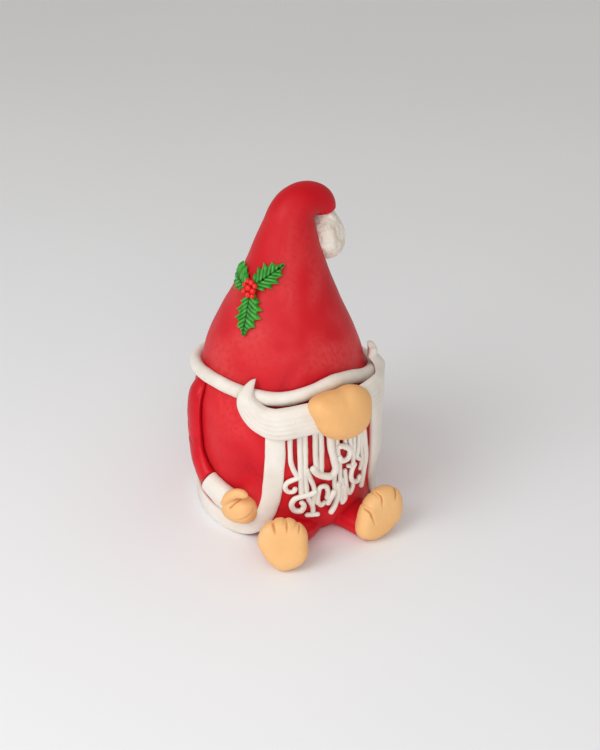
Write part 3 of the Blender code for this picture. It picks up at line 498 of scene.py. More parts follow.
def even(line, count):
    """A line of points resampled at even steps."""
    knots = knots_along(line)
    places = np.linspace(0, knots[-1], count)
    return np.stack([np.interp(places, knots, column) for column in line.T], -1)


def bun(size, depth, power, count):
    """The side of a rounded piece from its back to its front: the share of its reach, and how far out."""
    turn = np.linspace(0.004, math.pi - 0.004, 1500)
    profile = even(np.stack([size * np.sin(turn) ** power, -depth * np.cos(turn)], -1), count)
    return profile[:, :1] / size, profile[:, 1:]


def outline(columns, power, aspect):
    """A strip's rounded section as (across, up) pairs, evenly spaced where up is aspect times across."""
    turn = np.linspace(0, 2 * math.pi, 2000)
    across = np.sign(np.cos(turn)) * np.abs(np.cos(turn)) ** (2 / power)
    up = np.sign(np.sin(turn)) * np.abs(np.sin(turn)) ** (2 / power)
    ring = even(np.stack([across, up * np.where(up > 0, aspect, 0.25 * aspect)], -1), columns + 1)[:-1]
    return ring[:, 0], ring[:, 1] / np.where(ring[:, 1] > 0, aspect, 0.25 * aspect)


def places_along(length, step, start, end):
    """Distances along a strip, closer together towards an end that is rounded over a length."""
    curve = 1 - np.cos(np.linspace(0, math.pi / 2, 8))
    first, last = curve[:-1] * start, length - (curve[:-1] * end)[::-1]
    middle = np.linspace(start, length - end, max(3, round((length - start - end) / step)))
    return np.concatenate([first if start else [], middle, last if end else []])


def rounding(places, start, end):
    """The share of its full size that a strip has at places, where its ends are rounded."""
    size = np.ones(len(places))
    for span, distance in ((start, places - places[0]), (end, places[-1] - places)):
        if span:
            size *= np.sqrt(np.clip(1 - np.clip(1 - distance / span, 0, 1) ** 2, 0.0004, 1))
    return size


def along_line(rows, scale, step, start=0.0, end=0.0):
    """rows read closely along the smooth line through them, how far along, and the ends' rounding."""
    rows = np.array(rows, float)
    knots = knots_along(rows * np.array(scale))
    places = places_along(knots[-1], step, start, end)
    return hermite(knots, rows, places), places, rounding(places, start, end)


SUNK = 0.0012  # how deep a strip's middle is pressed into what carries it


def laid(rows, seat, columns, power, step=0.0012, start=0.0, end=0.0, under=0.0, relief=None):
    """The grid of a strip that lies on the figure.

    rows are (azimuth, height, half width, thickness, lift). Its widest level is at under, as a share of
    its thickness. relief(places, across) is a height that is added to its upper side.
    """
    scale = (DEGREE, 1) + (0.3,) * (len(rows[0]) - 2)
    line, places, size = along_line(rows, scale, step, start, end)
    lift = line[:, 4:5] if line.shape[1] > 4 else 0.0
    along = unit(np.gradient(line[:, :2] * (DEGREE, 1), axis=0))
    across, up = outline(columns, power, float(np.mean(line[:, 3]) / np.mean(line[:, 2])))
    half, thick = line[:, 2:3] * size[:, None], line[:, 3:4] * size[:, None]
    azimuth = line[:, :1] - along[:, 1:] * across * half / DEGREE
    height = line[:, 1:2] + along[:, :1] * across * half
    low = under * thick
    rise = low + np.where(up > 0, up * (thick - low), up * (low + SUNK))
    if relief:
        rise = rise + np.clip(up, 0, 1) ** 0.5 * relief(places[:, None], across) * size[:, None]
    return polar(azimuth, seat(azimuth, height) + lift + rise, height)


def flat_bottomed(up, across):
    """A round section with its lower half squared off, as of something soft that lies down."""
    low = up < 0
    across = np.where(low, np.sign(across) * np.abs(across) ** 0.55, across)
    return np.where(low, -np.abs(up) ** 0.55, up), across


def swept(points, radii, sides, up=None, flat=False):
    """The grid of a tube through points; radii are (along up, across) pairs."""
    points = np.asarray(points, float)
    radii = np.broadcast_to(radii, (len(points), 2))
    ahead = unit(np.gradient(points, axis=0))
    up = points * (1.0, 1.0, 0.0) if up is None else np.broadcast_to(np.array(up, float), points.shape)
    up = unit(up - (up * ahead).sum(1)[:, None] * ahead)
    across = np.cross(ahead, up)
    cos, sin = flat_bottomed(*circle(sides)) if flat else circle(sides)
    return (
        points[:, None]
        + up[:, None] * (radii[:, :1] * cos)[..., None]
        + across[:, None] * (radii[:, 1:] * sin)[..., None]
    )


def piece(name, nodes, slot, finish, *grids, loop=False):
    """An object made of grids of closed rings, capped at both ends unless they loop."""
    points, faces, first = [], [], 0
    for grid in grids:
        rows, columns = grid.shape[:2]
        index = first + np.arange(rows * columns).reshape(rows, columns)
        low = index if loop else index[:-1]
        high = np.roll(index, -1, 0) if loop else index[1:]
        quads = np.stack([low, np.roll(low, -1, 1), np.roll(high, -1, 1), high], -1)
        faces += quads.reshape(-1, 4).tolist()
        points.append(grid.reshape(-1, 3))
        first += rows * columns
        if loop:
            continue
        for ring, middle in ((index[0][::-1], grid[0].mean(0)), (index[-1], grid[-1].mean(0))):
            points.append(middle[None])
            faces += [[int(a), int(b), first] for a, b in zip(ring, np.roll(ring, -1))]
            first += 1
    mesh = bpy.data.meshes.new(name)
    mesh.from_pydata(np.concatenate(points).tolist(), [], faces)
    bm = bmesh.new()
    bm.from_mesh(mesh)
    bmesh.ops.recalc_face_normals(bm, faces=bm.faces)
    bm.to_mesh(mesh)
    bm.free()
    mesh.shade_smooth()
    made = bpy.data.objects.new(name, mesh)
    bpy.context.scene.collection.objects.link(made)
    mesh.materials.append(finish)
    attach(made, "root")
    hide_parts(*nodes)
    return made


def paint_groove_shade(made, values):
    """Stores how deep in a groove each point of a piece is, from 0 to 1, for its finish to darken as painted
    shade.
    """
    shade = made.data.attributes.new("groove", "FLOAT", "POINT")
    # The two points that close its ends are in no groove.
    values = np.concatenate([np.ravel(values), [0.0, 0.0]])[: len(made.data.vertices)]
    shade.data.foreach_set("value", values.astype(np.float32))


def blended(made, voxel, rounds):
    """Melts a piece's overlapping grids into one skin, softened at their joints."""
    remesh = made.modifiers.new("melt", "REMESH")
    remesh.mode, remesh.voxel_size, remesh.use_smooth_shade = "VOXEL", voxel, True
    smooth = made.modifiers.new("soften", "SMOOTH")
    smooth.factor, smooth.iterations = 0.5, rounds
    graph = bpy.context.evaluated_depsgraph_get()
    mesh = bpy.data.meshes.new_from_object(made.evaluated_get(graph))
    made.modifiers.clear()
    made.data = mesh
    return made


# ---- Finishes -----------------------------------------------------------------------------------


class Finish:
    """A procedural material, built node by node."""

    def __init__(self, name):
        self.material = bpy.data.materials.new(name)
        self.material.use_nodes = True
        self.tree = self.material.node_tree
        self.shader = self.tree.nodes["Principled BSDF"]
        self.place = self.node("ShaderNodeTexCoord").outputs["Object"]

    def node(self, kind, **settings):
        made = self.tree.nodes.new(kind)
        for name, value in settings.items():
            setattr(made, name, value)
        return made

    def link(self, source, target):
        self.tree.links.new(source, target)

    def noise(self, scale, detail=2.0, rough=0.5, warp=0.0):
        made = self.node("ShaderNodeTexNoise")
        made.inputs["Scale"].default_value = scale
        made.inputs["Detail"].default_value = detail
        made.inputs["Roughness"].default_value = rough
        made.inputs["Distortion"].default_value = warp
        self.link(self.place, made.inputs["Vector"])
        return made.outputs["Fac"]

    def ramp(self, source, *stops):
        made = self.node("ShaderNodeValToRGB")
        elements = made.color_ramp.elements
        while len(elements) < len(stops):
            elements.new(0.5)
        for element, (position, colour) in zip(elements, stops):
            element.position = position
            element.color = (*colour, 1.0) if len(colour) == 3 else colour
        self.link(source, made.inputs["Fac"])
        return made.outputs["Color"]

    def grey(self, source, low, high):
        return self.ramp(source, (low, (0, 0, 0)), (high, (1, 1, 1)))

    def blend(self, share, first, second, mode="MIX"):
        made = self.node("ShaderNodeMix", data_type="RGBA", blend_type=mode)
        sockets = made.inputs["Factor"], made.inputs[6], made.inputs[7]
        for socket, value in zip(sockets, (share, first, second)):
            if isinstance(value, (float, tuple)):
                socket.default_value = value if isinstance(value, float) else (*value, 1.0)
            else:
                self.link(value, socket)
        return made.outputs[2]

    def bump(self, height, strength, distance, under=None):
        made = self.node("ShaderNodeBump")
        made.inputs["Strength"].default_value = strength
        made.inputs["Distance"].default_value = distance
        self.link(height, made.inputs["Height"])
        if under:
            self.link(under, made.inputs["Normal"])
        return made.outputs["Normal"]

    def between(self, source, low, high):
        made = self.node("ShaderNodeMapRange")
        made.inputs["To Min"].default_value = low
        made.inputs["To Max"].default_value = high
        self.link(source, made.inputs["Value"])
        return made.outputs["Result"]


def sugar_paste(
    name, dark, plain, light, gloss, grain=1.0, lumps=22.0, spread=0.20,
    specks=None, glow=0.08, shine=0.4, crease=None, top=None,
):
    """Rolled sugar paste: mottled in colour, finely grained, and glossier where it was rubbed smooth.

    spread is how softly its colours run together, gloss is its (least, most) roughness, specks is
    (colour, how many from 0 to 1), crease is a darker colour painted down in the grooves as painted shade,
    and top is a colour that it turns to, with the heights that it does so between, as painted shade.
    """
    f = Finish(name)
    mottle = f.noise(lumps, 1.2, 0.45, 0.5)
    colour = f.ramp(mottle, (0.5 - spread, dark), (0.50, plain), (0.5 + spread, light))
    colour = f.blend(f.grey(f.noise(240.0, 1.0, 0.4), 0.40, 2.2), colour, plain)
    # Painted shade: the colour turns darker towards the top, between the heights given.
    if top:
        height = f.node("ShaderNodeSeparateXYZ")
        f.link(f.place, height.inputs["Vector"])
        colour = f.blend(f.grey(height.outputs["Z"], *top[1]), colour, top[0])
    # Painted shade: the colour turns darker down in the grooves that the piece marks.
    if crease:
        groove = f.node("ShaderNodeAttribute", attribute_name="groove")
        colour = f.blend(groove.outputs["Fac"], colour, crease)
    if specks:
        spots = f.node("ShaderNodeTexVoronoi")
        spots.inputs["Scale"].default_value = 420.0
        f.link(f.place, spots.inputs["Vector"])
        dots = f.ramp(spots.outputs["Distance"], (0.16, (1, 1, 1)), (0.32, (0, 0, 0)))
        patches = f.grey(f.noise(75.0, 2.0, 0.5), 0.72 - 0.3 * specks[1], 0.82 - 0.3 * specks[1])
        colour = f.blend(f.blend(1.0, dots, patches, "MULTIPLY"), colour, specks[0])
    f.link(colour, f.shader.inputs["Base Color"])
    f.link(f.between(f.noise(38.0, 4.0, 0.6), *gloss), f.shader.inputs["Roughness"])
    peel = f.bump(f.noise(120.0, 3.0, 0.5), 0.30 * grain, 0.0006)
    f.link(f.bump(f.noise(1500.0, 3.0, 0.6), 0.22 * grain, 0.0002, peel), f.shader.inputs["Normal"])
    f.shader.inputs["Specular IOR Level"].default_value = shine
    f.shader.inputs["Subsurface Weight"].default_value = glow
    f.shader.inputs["Subsurface Radius"].default_value = (1.0, 0.6, 0.4)
    f.shader.inputs["Subsurface Scale"].default_value = 0.003
    return f.material


RED = sugar_paste(
    "red_paste", (0.47, 0.003, 0.011), (0.61, 0.011, 0.021), (0.67, 0.032, 0.038), gloss=(0.36, 0.54),
    grain=0.7, lumps=18.0, spread=0.16, glow=0.04, shine=0.16,
)
# The hat's paste is painted darker towards its top, as painted shade.
HAT_RED = sugar_paste(
    "hat_paste", (0.49, 0.003, 0.011), (0.59, 0.014, 0.022), (0.64, 0.046, 0.050), gloss=(0.36, 0.54),
    grain=0.7, lumps=19.0, spread=0.15, glow=0.04, shine=0.16,
    top=((0.50, 0.003, 0.010), (0.20, 0.36)),
)
LIMB_RED = sugar_paste(
    "limb_paste", (0.52, 0.003, 0.012), (0.60, 0.004, 0.015), (0.64, 0.014, 0.024), gloss=(0.28, 0.42),
    grain=0.7, lumps=24.0, spread=0.16, glow=0.03, shine=0.22,
)
WHITE = sugar_paste(
    "white_paste", (0.73, 0.67, 0.595), (0.785, 0.735, 0.67), (0.83, 0.79, 0.735), gloss=(0.50, 0.66),
    grain=1.3, lumps=30.0,
    specks=((0.42, 0.28, 0.18), 0.10),
)
SKIN = sugar_paste(
    "skin_paste", (0.80, 0.42, 0.155), (0.83, 0.465, 0.185), (0.86, 0.51, 0.225), gloss=(0.44, 0.58),
    grain=0.6, lumps=18.0, glow=0.06,
    # crease is painted shade down in the hand's creases and the toe grooves.
    crease=(0.50, 0.17, 0.030),
)
SNOW = sugar_paste(
    "pompom_paste", (0.60, 0.53, 0.45), (0.76, 0.71, 0.63), (0.84, 0.80, 0.74), gloss=(0.60, 0.80),
    grain=2.2, lumps=60.0,
    specks=((0.30, 0.17, 0.10), 0.60),
)
BERRY = sugar_paste(
    "berry_paste", (0.60, 0.008, 0.008), (0.74, 0.014, 0.012), (0.82, 0.03, 0.025), gloss=(0.18, 0.30),
    grain=0.5,
)


def leaf_paste():
    """Green sugar paste, with painted shade darkening it down in the veins."""
    f = Finish("leaf_paste")
    groove = f.node("ShaderNodeAttribute", attribute_name="groove")
    colour = f.ramp(f.noise(160.0, 2.0), (0.35, (0.022, 0.255, 0.016)), (0.65, (0.060, 0.42, 0.045)))
    # Painted shade: near black where the piece marks a vein groove.
    colour = f.blend(groove.outputs["Fac"], colour, (0.001, 0.018, 0.002))
    f.link(colour, f.shader.inputs["Base Color"])
    f.link(f.between(f.noise(90.0), 0.30, 0.48), f.shader.inputs["Roughness"])
    f.shader.inputs["Specular IOR Level"].default_value = 0.3
    f.link(f.bump(f.noise(900.0, 3.0), 0.25, 0.0002), f.shader.inputs["Normal"])
    return f.material


LEAF_GREEN = leaf_paste()


# ---- The cake's pieces --------------------------------------------------------------------------


def make_body():
    """The covered cake under the hat."""
    foot = BODY_FOOT * (1 - np.cos(np.linspace(0, 1.5, 12)))
    heights = np.concatenate([foot, np.linspace(BODY_FOOT, BODY_END, 150)])
    azimuth = np.linspace(-180, 180, 361)[:-1]
    radius = body_radius(heights)[:, None] * np.ones(len(azimuth))
    grid = polar(azimuth, radius, heights[:, None])
    start, span, share = BODY_DRAWN_IN
    over = np.clip((grid[..., 2] - seam_height(grid[..., 0], grid[..., 1]) - start) / span, 0, 1)
    grid[..., :2] *= 1 - share * over[..., None]
    grid = kneaded(grid, (0.00035, 0.030, 3), (0.00012, 0.009, 4))
    piece("cake_body", ["body"], "red_fondant", RED, over_floor(grid))


def bend_axes():
    """The level directions towards the hat's bend and beside it."""
    toward = polar(HAT_BEND, 1.0, 0.0)
    return toward, np.array([-toward[1], toward[0], 0.0])


def seam_ring(height, cos, sin):
    """One of the hat's rings, at a height or at one height for each point."""
    toward, beside = bend_axes()
    height = np.broadcast_to(height, cos.shape)
    offset, radius = table(HAT_LINE, height), table(HAT_LINE, height, 2)
    shift = np.clip((height - 0.130) / 0.030, 0, 1)
    level = np.outer(shift, (*HAT_SHIFT, 0.0)) + np.outer(offset + radius * cos, toward)
    return level + np.outer(radius * sin, beside) + np.outer(height, (0, 0, 1))


def make_hat():
    """The tall hat, its tip folded over round the crease."""
    cos, sin = circle(HAT_SIDES)
    foot = np.full(HAT_SIDES, SEAM[0])
    for _ in range(12):
        level = seam_ring(foot, cos, sin)
        foot = seam_height(level[:, 0], level[:, 1])
    rings = [seam_ring(foot * (1 - share) + HAT_LEVEL * share, cos, sin) for share in np.arange(-2, 12) / 12]
    rings += [seam_ring(h, cos, sin) for h in np.linspace(HAT_LEVEL, HAT_LINE[-1][0], 100)]
    toward, beside = bend_axes()
    fold = [(i / 70, 1.0) for i in range(1, 71)]
    fold += [(1 + 0.052 * math.sin(turn), math.cos(turn)) for turn in np.linspace(0.12, 1.53, 14)]
    for share, size in fold:
        turn = math.pi * (1 - share * HAT_FOLD)
        outer = HAT_REACH[0] + (HAT_REACH[1] - HAT_REACH[0]) * share**0.8
        depth = HAT_HALF_DEPTH[0] + (HAT_HALF_DEPTH[1] - HAT_HALF_DEPTH[0]) * share**0.8
        inner = HAT_INNER[0] + HAT_INNER[1] * share
        middle, half = (outer + inner) / 2, (outer - inner) / 2 * size
        away = middle - half * cos
        rings.append(
            np.array([*HAT_SHIFT, 0.0])
            + np.outer(HAT_CREASE[0] + away * math.cos(turn), toward)
            + np.outer(depth * size * sin, beside)
            + np.outer(HAT_CREASE[1] + away * math.sin(turn), (0, 0, 1))
        )
    grid = kneaded(np.array(rings), (0.0007, 0.036, 11), (0.00025, 0.012, 12))
    piece("hat_cone", ["hat"], "red_fondant", HAT_RED, grid)


def make_hat_trim():
    """The white roll round the hat's foot."""
    azimuth = np.linspace(-180, 180, 541)[:-1]
    points = polar(azimuth, *trim_middle(azimuth))
    ahead = unit(np.roll(points, -1, 0) - np.roll(points, 1, 0))
    up = unit(points * (1.0, 1.0, 0.0))
    across = np.cross(ahead, up)
    cos, sin = circle(36)
    grid = (
        points[:, None]
        + up[:, None] * (TRIM_ROLL[0] * cos)[:, None]
        + across[:, None] * (TRIM_ROLL[1] * sin)[:, None]
    )
    grid = kneaded(grid, (0.00045, 0.016, 21), (0.00012, 0.004, 22))
    piece("hat_roll", ["hat_trim"], "white_fondant", WHITE, grid, loop=True)


def make_pompom():
    """The rough white ball under the hat's tip."""
    width, height = POMPOM
    centre = polar(HAT_BEND, *POMPOM_PLACE) + np.array([*HAT_SHIFT, 0])
    turn = np.linspace(math.pi - 0.03, 0.03, 110)[:, None]
    cos, sin = circle(120)
    radius = width * np.sin(turn) * (1 - 0.34 * np.cos(turn))
    grid = np.stack(np.broadcast_arrays(radius * cos, radius * sin, height * np.cos(turn)), -1) + centre
    grid = kneaded(grid, (0.0010, 0.008, 31), (0.0009, 0.0032, 32), (0.0005, 0.0015, 33))
    piece("hat_pompom", ["pompom"], "white_fondant", SNOW, grid)


def make_nose():
    """The big nose under the roll."""
    azimuth, away, level = NOSE_PLACE
    share, out = bun(NOSE_SIZE, NOSE_DEPTH, 0.75, 120)
    across, up = rim_of(NOSE_REACHES, np.arange(180) * 2.0)
    shape = np.stack(np.broadcast_arrays(across * share, out, up * share), -1)
    spin = turned(2, azimuth) @ turned(0, -NOSE_TILT)
    grid = kneaded(shape @ spin.T + polar(azimuth, away, level), (0.0004, 0.020, 41), (0.00010, 0.006, 42))
    piece("nose_bun", ["nose"], "skin_fondant", SKIN, grid)


def moustache_ridges(places, across):
    """Fine lines combed along the moustache, uneven in strength."""
    place = np.stack(np.broadcast_arrays(places, across * 0.010, 0.0), -1)
    wander = 0.55 * noise(place, 0.022, 51)
    strength = 0.65 + 0.35 * noise(place, 0.012, 52)
    return 0.00024 * strength * np.sin(across * 6.3 * math.pi + wander * 2.0)


def make_moustache(side):
    """Half of the moustache, up to its horn."""
    grid = laid(
        MOUSTACHE_LINES[side], on_figure, columns=150, power=2.4, step=0.0009,
        start=0.004, end=0.003, under=0.25, relief=moustache_ridges,
    )
    grid = kneaded(grid, (0.0004, 0.018, 53))
    piece("moustache_half_" + side, ["moustache_" + side], "white_fondant", WHITE, grid)


def make_beard():
    """The beard's rolled strands."""
    grids = []
    for number, (radius, lift, points) in enumerate(BEARD_STRANDS):
        route = np.array(points) * (1, 0.001)
        line, places, size = along_line(route, (DEGREE, 1), 0.0008, radius, radius)
        lift = lift * np.clip((0.128 - line[:, 1]) / 0.012, 0, 1)
        path = np.stack([places, np.full(len(places), number * 0.05), np.zeros(len(places))], -1)
        uneven = 1 + 0.07 * noise(path, 0.006, 61)
        away = body_radius(line[:, 1]) + radius * 0.92 + lift + 0.0002 * noise(path, 0.010, 62)
        strand = polar(line[:, 0], away, line[:, 1])
        grids.append(swept(strand, (radius * size * uneven)[:, None] * (1.0, 1.04), 18))
    piece("beard_strands", ["beard"], "white_fondant", WHITE, *grids)


def make_jacket_trim():
    """The coat's white band, down both edges and round the hem."""
    half = np.array([(*place, *BAND_SIZE) for place in BAND_LINE])
    out, wider, thicker = LEFT_BAND
    fade = np.clip((half[:, 1] - 0.030) / 0.040, 0, 1)[:, None]
    left = half + fade * (out, 0, wider, thicker)
    rows = np.concatenate([half * (-1, 1, 1, 1), left[-2::-1] - (360, 0, 0, 0)])
    grid = laid(rows, on_coat, columns=56, power=3.0, step=0.0011, start=0.003, end=0.003, under=0.25)
    grid = kneaded(grid, (0.00045, 0.017, 71), (0.00013, 0.005, 72))
    piece("coat_band", ["jacket_trim"], "white_fondant", WHITE, over_floor(grid))


def arm_back(azimuth, height, side):
    """An azimuth along the right arm, for that side: the left arm lies further back."""
    if side == "right":
        return -azimuth
    share = np.clip((height - 0.035) / 0.115, 0, 1)
    return azimuth + ARM_BACK[0] + (ARM_BACK[1] - ARM_BACK[0]) * share


def sleeve(rows, side):
    """The rows of an arm's table, laid on that side of the figure."""
    rows = np.array(rows, float)
    line = np.column_stack([arm_back(rows[:, 0], rows[:, 1], side), rows[:, 1:], np.zeros(len(rows))])
    if side == "left":
        line[:, 1] -= SHOULDER_DROP * np.clip((line[:, 1] - 0.060) / 0.090, 0, 1)
    return line


def pinches(places, across):
    """Two small creases where the sleeve was bent."""
    slanted = places - 0.004 * across
    lines = [deep * np.exp(-(((slanted - at) / PINCH_WIDTH) ** 2)) for at, deep in PINCHES]
    return -np.clip(0.6 - across, 0, 1) * sum(lines)


def make_arm(side):
    """A sleeve and its white cuff."""
    grid = laid(
        sleeve(ARM_LINE, side), on_body, columns=64, power=2.0, step=0.0009,
        start=0.006, end=0.002, under=0.40, relief=pinches,
    )
    grid = kneaded(grid, (0.0005, 0.018, 81), (0.00015, 0.006, 82))
    piece("sleeve_" + side, ["arm_" + side], "red_fondant", LIMB_RED, grid)
    grid = laid(
        sleeve(CUFF_LINE, side), on_body, columns=64, power=2.2, step=0.0009,
        start=0.0025, end=0.0025, under=0.35,
    )
    grid = kneaded(grid, (0.0004, 0.014, 83), (0.00012, 0.005, 84))
    piece("sleeve_cuff_" + side, ["cuff_" + side], "white_fondant", WHITE, grid)


def make_hand(side):
    """A hand like a mitten, its thumb melted on, with its creases."""
    azimuth, level, length, width, thickness = PALM
    cos, sin = circle(120)
    squared = np.abs(cos) ** 0.8 * np.sign(cos), np.abs(sin) ** 0.9 * np.sign(sin)
    turn = np.radians(np.concatenate([[-25, -10], np.linspace(0, 89, 60)]))[:, None]
    share = np.cos(turn) ** 0.8
    across = azimuth + squared[0] * length * share / DEGREE
    height = level + squared[1] * width * share
    radius = body_radius(height) + thickness * np.sin(turn)
    palm = polar(arm_back(across, level, side), radius, height)
    palm = kneaded(palm, (0.0004, 0.010, 91), (0.00012, 0.004, 92))
    line, _, size = along_line(THUMB_LINE, (DEGREE, 1, 0), 0.0006, 0.0040, 0.0040)
    away = body_radius(line[:, 1]) + THUMB_LIFT
    points = polar(arm_back(line[:, 0], level, side), away, line[:, 1])
    thumb = swept(points, (line[:, 2] * size)[:, None] * (0.95, 1.0), 40)
    thumb = kneaded(thumb, (0.00035, 0.008, 93))
    made = blended(piece("mitten_" + side, ["hand_" + side], "skin_fondant", SKIN, palm, thumb), 0.0005, 5)
    places = np.empty(len(made.data.vertices) * 3)
    made.data.vertices.foreach_get("co", places)
    places = places.reshape(-1, 3)
    turned_to = np.degrees(np.arctan2(places[:, 0], -places[:, 1]))
    away = np.hypot(places[:, 0], places[:, 1])
    crease = 0.0
    for line, deep in zip(HAND_CREASES, (1.0, 0.5)):
        line = np.array(line)
        for start, end in zip(line, line[1:]):
            ends = [(arm_back(p[0], p[1], side) * DEGREE, p[1]) for p in (start, end)]
            cut = groove_of(turned_to * DEGREE, places[:, 2], *ends, GROOVE_WIDTH)
            crease = np.maximum(crease, deep * cut)
    crease = crease * np.clip((away - body_radius(places[:, 2]) - 0.003) / 0.004, 0, 1)
    places[:, :2] *= 1 - CREASE_DEPTH * (crease / away)[:, None]
    made.data.vertices.foreach_set("co", places.ravel())
    # The creases are painted darker too, as painted shade.
    paint_groove_shade(made, 0.8 * crease**1.5)


def make_leg(side):
    """A trouser leg that lies on the floor."""
    line, *_ = along_line(LEG_LINES[side], (DEGREE, 1, 0, 0), 0.0012)
    points = polar(line[:, 0], line[:, 1], line[:, 3] - 0.0005)
    grid = swept(points, line[:, :1:-1], 96, up=(0, 0, 1), flat=True)
    grid = kneaded(grid, (0.0005, 0.018, 101), (0.00015, 0.006, 102))
    piece("trouser_" + side, ["leg_" + side], "red_fondant", LIMB_RED, over_floor(grid))


def make_foot(side):
    """A bare foot that shows its sole, with grooves between the toes."""
    azimuth, away, level, facing = FEET[side]
    reaches, grooves = FOOT_REACHES[side], TOE_GROOVES[side]
    spin = turned(2, facing) @ turned(0, -FOOT_LEAN)
    share, out = bun(FOOT_SIZE, FOOT_DEPTH, 0.4, 140)
    angle = np.arange(240) * 1.5
    # The toes bulge at the rim between their grooves.
    notch = 0.0
    for start, *_ in grooves:
        off = (angle - math.degrees(math.atan2(start[1], start[0])) + 180) % 360 - 180
        notch = notch + np.exp(-((off / TOE_NOTCH[0]) ** 2))
    share = share * (1 - TOE_NOTCH[1] * notch * np.clip((share - 0.6) / 0.35, 0, 1))
    across, up = rim_of(reaches, angle)
    across, up = across * share, up * share
    cuts = [groove_of(across, up, start, middle, GROOVE_WIDTH) for start, middle, _ in grooves]
    cuts += [groove_of(across, up, middle, end, GROOVE_WIDTH, 1.4) * 0.9 for _, middle, end in grooves]
    cut = np.max(cuts, axis=0)
    cut = cut * np.clip(-out / FOOT_DEPTH * 2.0, 0, 1)
    grid = np.stack(np.broadcast_arrays(across, out + GROOVE_DEPTH * cut, up), -1)
    grid = kneaded(grid @ spin.T + polar(azimuth, away, level), (0.0005, 0.012, 111), (0.00012, 0.004, 112))
    made = piece("bare_foot_" + side, ["foot_" + side], "skin_fondant", SKIN, over_floor(grid))
    # The toe grooves are painted darker too, as painted shade.
    paint_groove_shade(made, 0.8 * cut**1.5)


def on_hat(azimuth, height, lift):
    """A point at a lift over the hat's upright part."""
    offset = polar(HAT_BEND, 1.0, 0.0) * np.asarray(table(HAT_LINE, height))[..., None]
    return polar(azimuth, table(HAT_LINE, height, 2) + lift, height) + offset + np.array([*HAT_SHIFT, 0])


def make_leaf(name):
    """A holly leaf with spiny edges and deep slanting veins."""
    azimuth, level, pointing, length, half_width = LEAVES[name]
    heading = math.radians(pointing)
    share = np.linspace(0, 1, 170)[:, None]
    top = np.linspace(-1, 1, 61)
    column = np.concatenate([top, top[::-1][1:-1]])[None]
    side = np.concatenate([np.ones(61), -np.ones(59)])[None]
    belly = half_width * np.sin(math.pi * (0.07 + 0.925 * share)) ** (0.70 + 0.40 * share**2)
    spines = np.abs(2 * ((share * 5.0 + 0.15) % 1.0) - 1) ** 1.8
    edge = 0.78 + 0.52 * spines
    across = belly * column * (1 + (edge - 1) * np.abs(column) ** 3)
    along = length * share + 0.0018 * spines * np.abs(column) ** 3
    place = np.stack(np.broadcast_arrays(across, along, level + 0 * across), -1)
    vein = ((along - np.abs(across) * 0.75 + 0.0006 * noise(place, 0.006, 131)) / 0.0041) % 1.0
    ridge = np.abs(np.sin(math.pi * vein)) ** 0.7
    midrib = np.exp(-((across / 0.0008) ** 2))
    groove = np.clip(np.exp(-((np.minimum(vein, 1 - vein) / 0.20) ** 2)) + midrib, 0, 1)
    inside = np.clip((1 - np.abs(column)) * 7, 0, 1)
    over = LEAF_THICKNESS * (0.35 + 0.65 * inside) + 0.0013 * (ridge - 0.8 * midrib) * inside
    lift = 0.0005 + 0.0012 * (1 - column**2) + 0.0010 * spines * np.abs(column) ** 3
    lift = lift + np.where(side > 0, over, 0.0)
    x = across * math.cos(heading) + along * math.sin(heading)
    z = along * math.cos(heading) - across * math.sin(heading)
    height = level + z * 0.91
    grid = on_hat(azimuth + np.degrees(x / table(HAT_LINE, height, 2)), height, lift)
    # Painted shade in the veins and midrib of the upper side, fading towards the rim.
    deep = (1 - np.abs(column)) ** 0.35 * (0.85 + 0.35 * noise(place, 0.004, 132))
    made = piece("paste_" + name, [name], "leaf_fondant", LEAF_GREEN, grid)
    paint_groove_shade(made, groove * inside * deep * (side > 0))


def make_berries():
    """The cluster of berries on the leaves' stalks."""
    azimuth, level = BERRY_PLACE
    cos, sin = circle(28)
    turn = np.linspace(0.03, math.pi - 0.03, 22)[:, None]
    ball = np.stack(np.broadcast_arrays(np.sin(turn) * cos, np.sin(turn) * sin, np.cos(turn)), -1)
    grids = []
    for across, along, radius in BERRIES:
        turned_by = math.degrees(across / BERRY_GIRTH)
        place = on_hat(azimuth + turned_by, level + along, BERRY_SEAT + radius * 0.7)
        grids.append(kneaded(ball * radius + place, (0.00012, 0.002, 121)))
    piece("berry_cluster", ["holly_berries"], "berry_fondant", BERRY, *grids)


# ---- The studio ---------------------------------------------------------------------------------

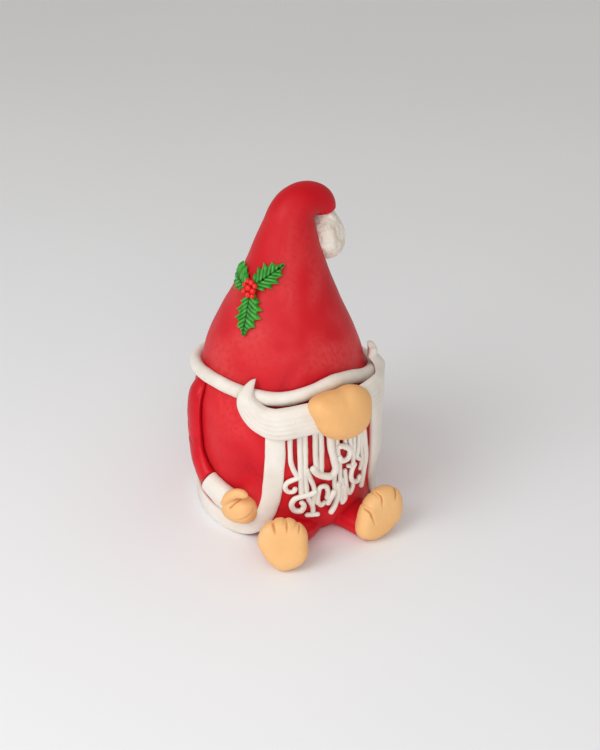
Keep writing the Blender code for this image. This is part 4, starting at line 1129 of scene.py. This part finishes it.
CAMERA_PLACE = (-0.52440, -0.93644, 0.74713)
CAMERA_TURN = (60.32, 0.0, -30.0)
CAMERA_LENS = (36, 60)  # the frame's height and the lens, in millimetres
LOOK_AT = Vector((0.0, 0.0, 0.15))
LIGHTS = (  # azimuth, elevation, distance, size and power
    ("key", -80.0, 39.0, 1.8, 1.1, 14.4),
    ("front_fill", -30.0, 30.0, 2.2, 1.8, 6.6),
    ("low_fill", -22.0, 6.0, 1.8, 0.6, 5.2),
)
FLOOR_COLOURS = ((0.3, (0.865, 0.885, 0.92)), (0.7, (0.89, 0.91, 0.945)))
SKY = (1.0, 0.96, 0.91, 1.0)
SKY_STRENGTH = 0.54


def direction(azimuth, elevation):
    """From the middle of the cake towards an azimuth and an elevation."""
    a, e = math.radians(azimuth), math.radians(elevation)
    return Vector((math.sin(a) * math.cos(e), -math.cos(a) * math.cos(e), math.sin(e)))


def make_stage():
    """A plain pale floor, soft studio light and the camera."""
    bpy.ops.mesh.primitive_plane_add(size=14)
    floor = bpy.context.object
    floor.name = "floor"
    f = Finish("floor_paint")
    f.link(f.ramp(f.noise(1.2, 2.0), *FLOOR_COLOURS), f.shader.inputs["Base Color"])
    f.shader.inputs["Roughness"].default_value = 0.6
    floor.data.materials.append(f.material)

    scene = bpy.context.scene
    scene.view_settings.view_transform = "Standard"
    world = bpy.data.worlds.new("studio")
    scene.world = world
    world.use_nodes = True
    world.node_tree.nodes["Background"].inputs["Color"].default_value = SKY
    world.node_tree.nodes["Background"].inputs["Strength"].default_value = SKY_STRENGTH

    for name, azimuth, elevation, distance, size, power in LIGHTS:
        lamp = bpy.data.lights.new(name, "AREA")
        lamp.size, lamp.energy = size, power
        light = bpy.data.objects.new(name, lamp)
        light.location = LOOK_AT + distance * direction(azimuth, elevation)
        light.rotation_euler = (light.location - LOOK_AT).to_track_quat("Z", "Y").to_euler()
        scene.collection.objects.link(light)

    camera = bpy.data.cameras.new("camera")
    camera.sensor_fit = "VERTICAL"
    camera.sensor_height, camera.lens = CAMERA_LENS
    holder = bpy.data.objects.new("camera", camera)
    holder.location = CAMERA_PLACE
    holder.rotation_euler = [math.radians(angle) for angle in CAMERA_TURN]
    scene.collection.objects.link(holder)
    scene.camera = holder


# ---- Build --------------------------------------------------------------------------------------

make_body()
make_hat()
make_hat_trim()
make_pompom()
make_nose()
make_beard()
make_jacket_trim()
for side in ("right", "left"):
    make_moustache(side)
    make_arm(side)
    make_hand(side)
    make_leg(side)
    make_foot(side)
for leaf in LEAVES:
    make_leaf(leaf)
make_berries()
make_stage()
